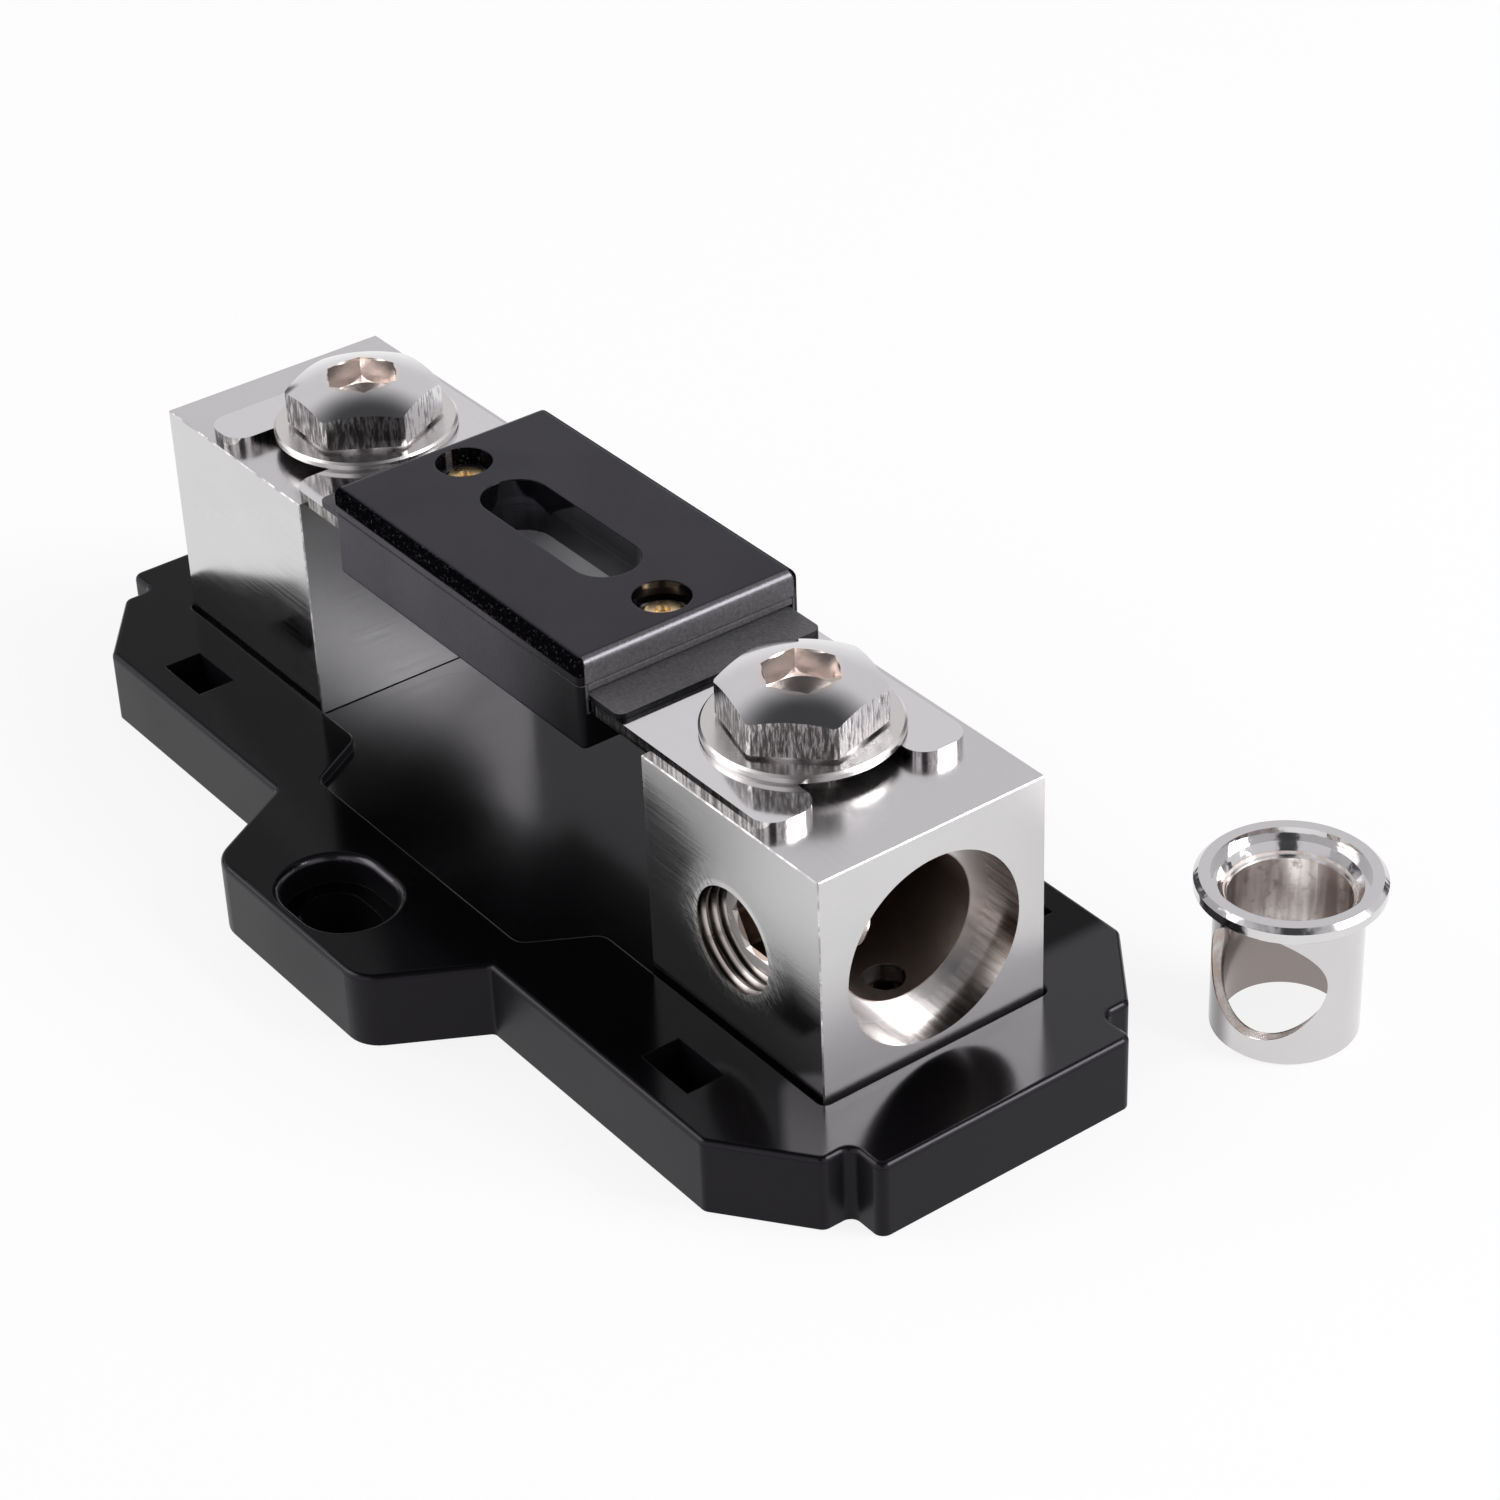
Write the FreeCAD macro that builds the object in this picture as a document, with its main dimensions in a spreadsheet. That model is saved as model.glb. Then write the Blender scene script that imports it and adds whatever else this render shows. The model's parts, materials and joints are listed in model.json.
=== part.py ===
import FreeCAD, Part
import math
import os
import Sketcher
from FreeCAD import Placement, Rotation, Vector

# Inline holder for a bolt-down strip fuse. X runs along the holder, Z is up, and the
# origin is the middle of the base's underside. Millimetres throughout.
# "near" is the +X end and "far" the -X end, which is the near end turned half round.

# Driving sizes, each of which can be changed by itself.
SIZES = {
    "bolt_spacing": 62.6,
    "block_length": 22.2,
    "block_width": 22.0,
    "block_height": 21.4,
    "block_edge": 0.1,
    "base_end_margin": 8.8,
    "base_side_margin": 10.0,
    "base_thickness": 6.9,
    "corner_cut_length": 11.1,
    "corner_cut_width": 8.4,
    "corner_step_length": 3.5,
    "ear_root_length": 32.8,
    "ear_tip_length": 22.0,
    "ear_depth": 9.3,
    "ear_root_radius": 0.6,
    "ear_tip_radius": 3.2,
    "outline_radius": 0.9,
    "top_edge_radius": 0.5,
    "recess_depth": 0.9,
    "recess_gap": 0.35,
    "recess_side_margin": 3.6,
    "recess_wide_length": 30.4,
    "recess_jog_length": 3.6,
    "recess_corner_radius": 1.6,
    "recess_end_radius": 0.7,
    "recess_rim_radius": 0.2,
    "clip_slot_length": 6.0,
    "clip_slot_width": 3.6,
    "clip_slot_shift": 0.6,
    "clip_slot_inset": 4.4,
    "mount_slot_inset": 5.4,
    "mount_slot_run": 2.7,
    "mount_slot_width": 5.4,
    "mount_seat_width": 8.3,
    "mount_seat_depth": 2.7,
    "mount_seat_rim_radius": 0.7,
    "core_skin": 2.4,
    "core_wall": 2.6,
    "core_rib": 1.4,
    "screw_boss_radius": 5.8,
    "base_screw_radius": 1.7,
    "base_screw_gap": 0.05,
    "base_screw_head_radius": 3.6,
    "base_screw_head_height": 2.2,
    "base_screw_head_recess": 0.5,
    "base_screw_head_gap": 0.5,
    "base_screw_tip_gap": 0.7,
    "base_screw_offset": 4.7,
    "cable_bore_radius": 6.5,
    "cable_bore_depth": 16.0,
    "cable_axis_height": 10.3,
    "sleeve_seat_radius": 8.4,
    "sleeve_seat_depth": 3.7,
    "clamp_bolt_offset": 4.8,
    "clamp_thread_radius": 4.0,
    "clamp_thread_overrun": 1.8,
    "thread_gap": 0.05,
    "set_screw_radius": 4.55,
    "set_screw_length": 8.0,
    "set_screw_inset": 2.4,
    "set_screw_height": 9.9,
    "set_screw_chamfer": 0.6,
    "thread_groove_depth": 0.45,
    "thread_pitch": 1.0,
    "thread_turns": 3,
    "set_socket_flats": 5.0,
    "set_socket_depth": 3.2,
    "washer_radius": 8.1,
    "washer_hole_gap": 0.25,
    "washer_thickness": 0.8,
    "washer_edge": 0.2,
    "bolt_flats": 12.0,
    "bolt_head_height": 4.7,
    "bolt_corner_radius": 6.8,
    "bolt_face_radius": 5.7,
    "bolt_face_height": 0.3,
    "bolt_dome_radius": 15.0,
    "bolt_socket_flats": 5.8,
    "bolt_socket_depth": 2.7,
    "bolt_mouth_depth": 0.45,
    "bolt_drill_depth": 1.0,
    "near_bolt_turn": 45.0,
    "far_bolt_turn": 57.0,
    "near_socket_turn": 46.0,
    "far_socket_turn": 34.0,
    "bolt_tip_gap": 0.3,
    "bolt_tip_chamfer": 0.5,
    "blade_thickness": 1.1,
    "blade_width": 20.0,
    "blade_end_length": 9.6,
    "blade_slot_gap": 0.7,
    "blade_prong_flat": 1.3,
    "blade_hole_radius": 1.3,
    "link_thickness": 0.8,
    "link_gap": 0.2,
    "link_neck_width": 5.0,
    "link_neck_length": 12.0,
    "link_leg": 1.0,
    "fuse_length": 36.0,
    "fuse_shift_x": -0.4,
    "fuse_shift_y": -0.5,
    "fuse_side_wall": 0.75,
    "fuse_below_blade": 3.4,
    "fuse_floor": 1.0,
    "fuse_ledge": 5.2,
    "fuse_corner_radius": 0.6,
    "fuse_lower_edge": 0.4,
    "fuse_fit_gap": 0.1,
    "cover_tongue_height": 1.4,
    "cover_thickness": 2.4,
    "cover_edge_radius": 0.8,
    "cover_lower_edge": 0.15,
    "apron_washer_gap": 1.2,
    "apron_thickness": 0.5,
    "apron_corner_radius": 0.8,
    "apron_gap": 0.35,
    "apron_gap_depth": 0.6,
    "window_end_gap": 2.4,
    "window_width": 6.0,
    "window_step": 0.15,
    "collar_wall": 1.0,
    "lens_thickness": 0.5,
    "lens_gap": 0.8,
    "fuse_screw_inset": 3.8,
    "fuse_screw_well_radius": 2.45,
    "fuse_screw_seat": 0.5,
    "fuse_screw_head_radius": 1.95,
    "fuse_screw_head_height": 0.7,
    "fuse_screw_dimple_radius": 0.5,
    "fuse_screw_dimple_depth": 0.35,
    "fuse_screw_radius": 0.9,
    "fuse_screw_hole_gap": 0.1,
    "fuse_screw_length": 4.6,
    "sleeve_flange_gap": 0.7,
    "sleeve_flange_thickness": 1.4,
    "sleeve_flange_edge": 0.4,
    "sleeve_barrel_gap": 0.45,
    "sleeve_height": 14.5,
    "sleeve_wall": 1.05,
    "sleeve_lip_width": 1.35,
    "sleeve_lip_depth": 0.9,
    "sleeve_step_width": 0.8,
    "sleeve_step_depth": 2.1,
    "sleeve_window_gap": 0.55,
    "sleeve_window_rim": 0.7,
    "sleeve_end_offset": 0.4,
    "sleeve_side_offset": 8.3,
    "sleeve_turn": 20.0,
}

PARTS_FOLDER = "parts"
OVERCUT = 1.0
HALF_TURN = 180.0
FULL_TURN = 360.0
HEX_SIDES = 6


class Size:
    """A length that knows its number and the sheet formula that gives it."""

    def __init__(self, value, text):
        self.value = value
        self.text = text

    @staticmethod
    def of(other):
        return other if isinstance(other, Size) else Size(float(other), repr(float(other)))

    def joined(self, sign, other, value):
        return Size(value, f"({self.text} {sign} {other.text})")

    def __add__(self, other):
        other = Size.of(other)
        return self.joined("+", other, self.value + other.value)

    def __sub__(self, other):
        other = Size.of(other)
        return self.joined("-", other, self.value - other.value)

    def __mul__(self, other):
        other = Size.of(other)
        return self.joined("*", other, self.value * other.value)

    def __truediv__(self, other):
        other = Size.of(other)
        return self.joined("/", other, self.value / other.value)

    def __radd__(self, other):
        return Size.of(other) + self

    def __rmul__(self, other):
        return Size.of(other) * self

    def __neg__(self):
        return Size(-self.value, f"(0 - {self.text})")


class Sheet:
    """The document's table of driving sizes, read by name."""

    def __init__(self, document, table):
        self.cells = document.addObject("Spreadsheet::Sheet", "Sizes")
        for row, (alias, value) in enumerate(table.items(), 1):
            self.cells.set(f"A{row}", alias)
            self.cells.set(f"B{row}", str(value))
            self.cells.setAlias(f"B{row}", alias)
        document.recompute()

    def __getattr__(self, alias):
        return Size(float(SIZES[alias]), f"Sizes.{alias}")


doc = FreeCAD.newDocument("FuseHolder")
s = Sheet(doc, SIZES)
nothing = Size.of(0)

# Levels and places that several pieces share, upwards and outwards from the middle.
recess_floor = s.base_thickness - s.recess_depth
block_top = recess_floor + s.block_height
bolt_place = s.bolt_spacing / 2
block_place = bolt_place + s.clamp_bolt_offset
base_screw_place = block_place + s.base_screw_offset
base_end = block_place + s.block_length / 2 + s.base_end_margin
base_side = s.block_width / 2 + s.base_side_margin
ear_side = base_side + s.ear_depth
mount_slot_place = ear_side - s.mount_slot_inset
base_hole_radius = s.base_screw_radius + s.base_screw_gap
bore_roof = s.block_height - s.cable_axis_height - s.cable_bore_radius
blade_top = block_top + s.blade_thickness
blade_reach = bolt_place + s.blade_end_length
head_seat = blade_top + s.washer_thickness
fuse_bottom = block_top - s.fuse_below_blade
fuse_width = s.blade_width + (s.fuse_side_wall + s.fuse_fit_gap) * 2
cavity_length = s.fuse_length - s.fuse_ledge * 2
collar_width = s.window_width + s.collar_wall * 2
window_run = cavity_length - collar_width - s.window_end_gap * 2
cover_bottom = blade_top + s.cover_tongue_height
fuse_top = cover_bottom + s.cover_thickness
fuse_screw_place = s.fuse_length / 2 - s.fuse_screw_inset
fuse_screw_level = cover_bottom + s.fuse_screw_seat
link_bottom = fuse_bottom + s.fuse_floor + s.link_gap
link_top = link_bottom + s.link_thickness
lens_top = link_top + s.lens_gap + s.lens_thickness


class Profile:
    """A sketch on one of a body's own origin planes, fully held by sheet formulas."""

    def __init__(self, body, name, plane="XY_Plane", offset=nothing):
        self.sketch = body.newObject("Sketcher::SketchObject", name)
        planes = body.Origin.OriginFeatures
        support = next(feature for feature in planes if feature.Role == plane)
        self.sketch.AttachmentSupport = [(support, "")]
        self.sketch.MapMode = "FlatFace"
        self.sketch.AttachmentOffset = Placement(Vector(0, 0, offset.value), Rotation())
        self.sketch.setExpression("AttachmentOffset.Base.z", offset.text)

    def bind(self, kind, *references, size):
        constraint = Sketcher.Constraint(kind, *references, size.value)
        index = self.sketch.addConstraint(constraint)
        self.sketch.setExpression(f"Constraints[{index}]", size.text)

    def pin(self, geometry, point, x, y):
        self.bind("DistanceX", -1, 1, geometry, point, size=Size.of(x))
        self.bind("DistanceY", -1, 1, geometry, point, size=Size.of(y))

    def polygon(self, corners):
        corners = [(Size.of(x), Size.of(y)) for x, y in corners]
        points = [Vector(x.value, y.value, 0) for x, y in corners]
        count = len(points)
        lines = []
        for index in range(count):
            segment = Part.LineSegment(points[index], points[(index + 1) % count])
            lines.append(self.sketch.addGeometry(segment, False))
        for index in range(count):
            following = lines[(index + 1) % count]
            self.sketch.addConstraint(
                Sketcher.Constraint("Coincident", lines[index], 2, following, 1)
            )
        for line, (x, y) in zip(lines, corners):
            self.pin(line, 1, x, y)
        return self

    def rectangle(self, x, y, width, height):
        x, y, width, height = (Size.of(value) for value in (x, y, width, height))
        left, right = x - width / 2, x + width / 2
        low, high = y - height / 2, y + height / 2
        return self.polygon([(left, low), (right, low), (right, high), (left, high)])

    def circle(self, x, y, radius):
        x, y = Size.of(x), Size.of(y)
        ring = Part.Circle(Vector(x.value, y.value, 0), Vector(0, 0, 1), radius.value)
        geometry = self.sketch.addGeometry(ring, False)
        self.pin(geometry, 3, x, y)
        self.bind("Radius", geometry, size=radius)
        return self

    def obround(self, x, y, run, width):
        """A slot along the sketch's first axis; run is between its two centres."""
        x, y = Size.of(x), Size.of(y)
        radius = width / 2
        ends = []
        for centre, start in ((x + run / 2, -math.pi / 2), (x - run / 2, math.pi / 2)):
            ring = Part.Circle(Vector(centre.value, y.value, 0), Vector(0, 0, 1), radius.value)
            arc = Part.ArcOfCircle(ring, start, start + math.pi)
            ends.append(self.sketch.addGeometry(arc, False))
            self.pin(ends[-1], 3, centre, y)
        right, left = ends
        half, reach = run.value / 2, radius.value
        top = Part.LineSegment(
            Vector(x.value + half, y.value + reach, 0), Vector(x.value - half, y.value + reach, 0)
        )
        bottom = Part.LineSegment(
            Vector(x.value - half, y.value - reach, 0), Vector(x.value + half, y.value - reach, 0)
        )
        upper = self.sketch.addGeometry(top, False)
        lower = self.sketch.addGeometry(bottom, False)
        joints = ((right, 2, upper, 1), (upper, 2, left, 1), (left, 2, lower, 1), (lower, 2, right, 1))
        for joint in joints:
            self.sketch.addConstraint(Sketcher.Constraint("Tangent", *joint))
        self.sketch.addConstraint(Sketcher.Constraint("Equal", right, left))
        self.bind("Radius", right, size=radius)
        return self


def new_body(label):
    body = doc.addObject("PartDesign::Body", label)
    body.Label = label
    return body


def feature(body, kind, name, profile):
    made = body.newObject(f"PartDesign::{kind}", name)
    made.Profile = profile.sketch
    body.Tip = made
    return made


def pad(body, name, profile, length, reverse=False, symmetric=False):
    made = feature(body, "Pad", name, profile)
    made.setExpression("Length", length.text)
    made.Reversed = reverse
    if symmetric:
        made.SideType = "Symmetric"
    return made


def pocket(body, name, profile, depth=None, reverse=False):
    """Cuts against the sketch's normal, or along it when reversed."""
    made = feature(body, "Pocket", name, profile)
    if depth is None:
        made.Type = "ThroughAll"
    else:
        made.setExpression("Length", depth.text)
    made.Reversed = reverse
    return made


def revolve(body, name, profile):
    made = feature(body, "Revolution", name, profile)
    made.ReferenceAxis = (profile.sketch, ["V_Axis"])
    made.Angle = FULL_TURN
    return made


def edges_where(shape, test):
    """Names of the edges whose middle point and direction pass the test."""
    names = []
    for number, edge in enumerate(shape.Edges, 1):
        middle = edge.valueAt((edge.FirstParameter + edge.LastParameter) / 2)
        box = edge.BoundBox
        if test(middle, box):
            names.append(f"Edge{number}")
    return names


def dress(body, kind, name, size, test):
    """A Fillet or Chamfer of one size on the edges that the test picks."""
    doc.recompute()
    base = body.Tip
    names = edges_where(base.Shape, test)
    made = body.newObject(f"PartDesign::{kind}", name)
    made.Base = (base, names)
    made.setExpression("Radius" if kind == "Fillet" else "Size", size.text)
    body.Tip = made
    return made


def close(first, second, reach=0.01):
    return abs(first - second) < reach


def upright(box):
    return box.XLength < 0.01 and box.YLength < 0.01


def place(made, x=nothing, y=nothing, z=nothing, axis=Vector(0, 0, 1), angle=0.0):
    made.Placement = Placement(Vector(x.value, y.value, z.value), Rotation(axis, angle))
    for letter, size in (("x", x), ("y", y), ("z", z)):
        made.setExpression(f"Placement.Base.{letter}", size.text)


def base_outline():
    """One quarter of the outline, from the end face round to the ear's tip."""
    shoulder = base_side - s.corner_cut_width
    step = base_end - s.corner_step_length
    step_side = shoulder + s.corner_cut_width * s.corner_step_length / s.corner_cut_length
    return [
        (base_end, shoulder),
        (step, shoulder),
        (step, step_side),
        (base_end - s.corner_cut_length, base_side),
        (s.ear_root_length / 2, base_side),
        (s.ear_tip_length / 2, ear_side),
    ]


def all_round(quarter):
    """The four mirror images of a quarter outline, in order round the origin."""
    first = list(quarter)
    second = [(-x, y) for x, y in reversed(first)]
    third = [(-x, -y) for x, y in first]
    fourth = [(x, -y) for x, y in reversed(first)]
    return first + second + third + fourth


def recess_outline():
    narrow = s.block_width / 2 + s.recess_gap
    wide = base_side - s.recess_side_margin
    end = block_place + s.block_length / 2 + s.recess_gap
    jog = s.recess_wide_length / 2
    return [(end, narrow), (jog + s.recess_jog_length, narrow), (jog, wide)]


def core_cells():
    """Centres and sizes of the square hollows under the base, clear of every boss."""
    rows, columns = 2, 5
    pitch_x = (base_end - s.core_wall + s.core_rib / 2) / (columns + 0.5)
    pitch_y = (base_side - s.core_wall + s.core_rib / 2) / rows
    width, height = pitch_x - s.core_rib, pitch_y - s.core_rib
    slot_x, slot_y = block_place + s.clip_slot_shift, base_side - s.clip_slot_inset
    solid_areas = (
        (base_screw_place, nothing, s.screw_boss_radius, s.screw_boss_radius),
        (slot_x, slot_y, s.clip_slot_length / 2 + s.core_rib, s.clip_slot_width / 2 + s.core_rib),
    )
    cut_slope = s.corner_cut_width.value / s.corner_cut_length.value
    for column in range(-columns, columns + 1):
        for row in (-1.5, -0.5, 0.5, 1.5):
            x, y = pitch_x * column, pitch_y * row
            far_x = abs(x.value) + width.value / 2
            far_y = abs(y.value) + height.value / 2
            over_cut = far_x - (base_end.value - s.corner_cut_length.value)
            edge_y = base_side.value - max(over_cut, 0) * cut_slope
            if far_y > edge_y - s.core_wall.value:
                continue
            hits = [
                abs(abs(x.value) - place_x.value) < reach_x.value + width.value / 2
                and abs(abs(y.value) - place_y.value) < reach_y.value + height.value / 2
                for place_x, place_y, reach_x, reach_y in solid_areas
            ]
            if not any(hits):
                yield x, y, width, height


def make_base():
    body = new_body("base")
    outline = Profile(body, "base_outline").polygon(all_round(base_outline()))
    pad(body, "base_slab", outline, s.base_thickness)

    root = (s.ear_root_length.value / 2, base_side.value)
    tip = (s.ear_tip_length.value / 2, ear_side.value)

    def stands_at(corner):
        return lambda middle, box: (
            upright(box) and close(abs(middle.x), corner[0]) and close(abs(middle.y), corner[1])
        )

    dress(body, "Fillet", "ear_roots", s.ear_root_radius, stands_at(root))
    dress(body, "Fillet", "ear_tips", s.ear_tip_radius, stands_at(tip))
    beyond_ear = s.ear_root_length.value / 2 + s.ear_root_radius.value
    dress(
        body, "Fillet", "outline_corners", s.outline_radius,
        lambda middle, box: upright(box) and abs(middle.x) > beyond_ear,
    )
    dress(
        body, "Fillet", "top_edge", s.top_edge_radius,
        lambda middle, box: close(middle.z, s.base_thickness.value) and box.ZLength < 0.01,
    )

    recess = Profile(body, "recess_outline", offset=s.base_thickness)
    recess.polygon(all_round(recess_outline()))
    pocket(body, "recess", recess, s.recess_depth)
    recess_end = recess_outline()[0][0].value
    recess_side = recess_outline()[-1][1].value

    def in_recess(middle, box):
        stands = upright(box) and recess_floor.value < middle.z < s.base_thickness.value
        return stands and abs(middle.y) < recess_side + 0.01

    dress(
        body, "Fillet", "recess_jogs", s.recess_corner_radius,
        lambda middle, box: in_recess(middle, box) and not close(abs(middle.x), recess_end),
    )
    dress(
        body, "Fillet", "recess_ends", s.recess_end_radius,
        lambda middle, box: in_recess(middle, box) and close(abs(middle.x), recess_end),
    )
    dress(
        body, "Fillet", "recess_top_edge", s.recess_rim_radius,
        lambda middle, box: close(middle.z, s.base_thickness.value)
        and abs(middle.x) < recess_end + 0.01 and abs(middle.y) < recess_side + 0.01,
    )

    cores = Profile(body, "core_cells")
    for cell in core_cells():
        cores.rectangle(*cell)
    pocket(body, "cores", cores, recess_floor - s.core_skin, reverse=True)

    slots = Profile(body, "clip_slots", offset=s.base_thickness)
    seats = Profile(body, "mount_seats", offset=s.base_thickness)
    holes = Profile(body, "mount_slots", offset=s.base_thickness)
    heads = Profile(body, "screw_pockets")
    screws = Profile(body, "screw_holes")
    for side in (1, -1):
        for end in (1, -1):
            slots.rectangle(
                (block_place + s.clip_slot_shift) * end, (base_side - s.clip_slot_inset) * side,
                s.clip_slot_length, s.clip_slot_width,
            )
        slot_y = mount_slot_place * side
        seats.obround(0, slot_y, s.mount_slot_run, s.mount_seat_width)
        holes.obround(0, slot_y, s.mount_slot_run, s.mount_slot_width)
        heads.circle(base_screw_place * side, 0, s.base_screw_head_radius + s.base_screw_head_gap)
        screws.circle(base_screw_place * side, 0, base_hole_radius)
    pocket(body, "clip_slot_cuts", slots)
    pocket(body, "mount_seat_cuts", seats, s.mount_seat_depth)
    pocket(body, "mount_slot_cuts", holes)
    head_depth = s.base_screw_head_recess + s.base_screw_head_height
    pocket(body, "screw_pocket_cuts", heads, head_depth, reverse=True)
    pocket(body, "screw_hole_cuts", screws, reverse=True)

    seat_reach = s.mount_slot_run.value / 2 + s.mount_seat_width.value / 2 + 0.01
    dress(
        body, "Fillet", "mount_seat_rims", s.mount_seat_rim_radius,
        lambda middle, box: close(middle.z, s.base_thickness.value)
        and abs(middle.x) < seat_reach
        and abs(abs(middle.y) - mount_slot_place.value) < s.mount_seat_width.value / 2 + 0.01,
    )
    return body


def make_block(label):
    """A square clamp block, made for the near end with its cable mouth towards +X."""
    body = new_body(label)
    footprint = Profile(body, f"{label}_footprint").rectangle(0, 0, s.block_length, s.block_width)
    pad(body, f"{label}_cube", footprint, s.block_height)
    dress(body, "Chamfer", f"{label}_edges", s.block_edge, lambda middle, box: True)

    mouth = s.block_length / 2
    seat = Profile(body, f"{label}_seat", "YZ_Plane", mouth)
    seat.circle(0, s.cable_axis_height, s.sleeve_seat_radius)
    pocket(body, f"{label}_sleeve_seat", seat, s.sleeve_seat_depth)
    bore = Profile(body, f"{label}_bore", "YZ_Plane", mouth)
    bore.circle(0, s.cable_axis_height, s.cable_bore_radius)
    pocket(body, f"{label}_cable_bore", bore, s.cable_bore_depth)

    thread = Profile(body, f"{label}_bolt_thread", offset=s.block_height)
    thread.circle(-s.clamp_bolt_offset, 0, s.clamp_thread_radius)
    pocket(body, f"{label}_bolt_hole", thread, bore_roof + s.clamp_thread_overrun)
    floor_hole = Profile(body, f"{label}_floor_thread")
    floor_hole.circle(s.base_screw_offset, 0, base_hole_radius)
    pocket(body, f"{label}_floor_hole", floor_hole, s.cable_axis_height, reverse=True)

    side = Profile(body, f"{label}_side_thread", "XZ_Plane", s.block_width / 2)
    hole_radius = s.set_screw_radius + s.thread_gap
    side.circle(0, s.set_screw_height, hole_radius)
    pocket(body, f"{label}_side_hole", side, s.block_width / 2)

    # One V-shaped ring stands for each turn of the side hole's thread.
    ring = Profile(body, f"{label}_thread_ring", offset=s.set_screw_height)
    ring_y = s.thread_pitch / 2 - s.block_width / 2
    half = s.thread_groove_depth
    ring.polygon([
        (hole_radius - s.thread_gap, ring_y - half),
        (hole_radius + s.thread_groove_depth, ring_y),
        (hole_radius - s.thread_gap, ring_y + half),
    ])
    groove = body.newObject("PartDesign::Groove", f"{label}_thread_groove")
    groove.Profile = ring.sketch
    groove.ReferenceAxis = (ring.sketch, ["V_Axis"])
    groove.Angle = FULL_TURN
    body.Tip = groove
    doc.recompute()
    turns = body.newObject("PartDesign::LinearPattern", f"{label}_thread_turns")
    turns.Originals = [groove]
    turns.Direction = (ring.sketch, ["V_Axis"])
    turns.setExpression("Length", (s.thread_pitch * (s.thread_turns - 1)).text)
    turns.setExpression("Occurrences", s.thread_turns.text)
    body.Tip = turns
    return body


def primitive(kind, name, **sizes):
    made = doc.addObject(f"Part::{kind}", name)
    for key, size in sizes.items():
        made.setExpression(key, size.text)
    return made


def hex_prism(name, flats, height):
    made = doc.addObject("Part::Prism", name)
    made.Polygon = HEX_SIDES
    across_corners = math.cos(math.pi / HEX_SIDES) * 2
    made.setExpression("Circumradius", (flats / across_corners).text)
    made.setExpression("Height", height.text)
    return made


def at_height(made, z):
    made.Placement = Placement(Vector(0, 0, z.value), Rotation())
    made.setExpression("Placement.Base.z", z.text)
    return made


def turned(made, angle):
    """Turns a placed object about its own upright axis, by an angle above zero."""
    made.Placement = Placement(made.Placement.Base, Rotation(Vector(0, 0, 1), angle.value))
    made.setExpression("Placement.Rotation.Angle", angle.text)
    return made


def boolean(kind, name, base, tool):
    made = doc.addObject(f"Part::{kind}", name)
    made.Base = base
    made.Tool = tool
    return made


def make_clamp_bolt(label, socket_turn):
    """Domed hexagon head on a thin round face, with a hexagon socket; its own origin
    is under the head."""
    hex_height = s.bolt_head_height - s.bolt_face_height
    prism = hex_prism(f"{label}_hexagon", s.bolt_flats, hex_height)
    at_height(prism, s.bolt_face_height)
    blank = primitive("Cylinder", f"{label}_blank", Radius=s.bolt_corner_radius, Height=hex_height)
    at_height(blank, s.bolt_face_height)
    head = boolean("Common", f"{label}_head", prism, blank)
    dome = primitive("Sphere", f"{label}_dome", Radius=s.bolt_dome_radius)
    at_height(dome, s.bolt_head_height - s.bolt_dome_radius)
    domed = boolean("Common", f"{label}_domed_head", head, dome)
    face = primitive(
        "Cylinder", f"{label}_face", Radius=s.bolt_face_radius, Height=s.bolt_face_height
    )
    radius, tip = s.clamp_thread_radius - s.thread_gap, s.bolt_tip_chamfer
    length = s.washer_thickness + s.blade_thickness + bore_roof - s.bolt_tip_gap
    shank = primitive("Cylinder", f"{label}_shank", Radius=radius, Height=length - tip)
    at_height(shank, tip - length)
    point = primitive("Cone", f"{label}_point", Radius1=radius - tip, Radius2=radius, Height=tip)
    at_height(point, -length)
    rod = boolean("Fuse", f"{label}_rod", shank, point)
    seated = boolean("Fuse", f"{label}_seated", domed, face)
    solid = boolean("Fuse", f"{label}_solid", seated, rod)
    socket = hex_prism(f"{label}_socket", s.bolt_socket_flats, s.bolt_socket_depth + OVERCUT)
    socket_floor = s.bolt_head_height - s.bolt_socket_depth
    turned(at_height(socket, socket_floor), socket_turn)
    broached = boolean("Cut", f"{label}_broached", solid, socket)
    drill = primitive(
        "Cone", f"{label}_drill", Radius1=nothing, Radius2=s.bolt_socket_flats / 2,
        Height=s.bolt_drill_depth,
    )
    at_height(drill, socket_floor - s.bolt_drill_depth)
    drilled = boolean("Cut", f"{label}_drilled", broached, drill)
    rise = s.bolt_mouth_depth + OVERCUT
    mouth = primitive(
        "Cone", f"{label}_mouth", Radius1=s.bolt_socket_flats / 2,
        Radius2=s.bolt_socket_flats / 2 + rise, Height=rise,
    )
    at_height(mouth, s.bolt_head_height - s.bolt_mouth_depth)
    return boolean("Cut", label, drilled, mouth)


def make_washer(label):
    body = new_body(label)
    edge = s.washer_edge
    hole_radius = s.clamp_thread_radius + s.washer_hole_gap
    section = Profile(body, f"{label}_section", "XZ_Plane")
    section.polygon([
        (hole_radius, 0),
        (s.washer_radius - edge, 0),
        (s.washer_radius, edge),
        (s.washer_radius, s.washer_thickness - edge),
        (s.washer_radius - edge, s.washer_thickness),
        (hole_radius, s.washer_thickness),
    ])
    revolve(body, f"{label}_ring", section)
    return body


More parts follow.
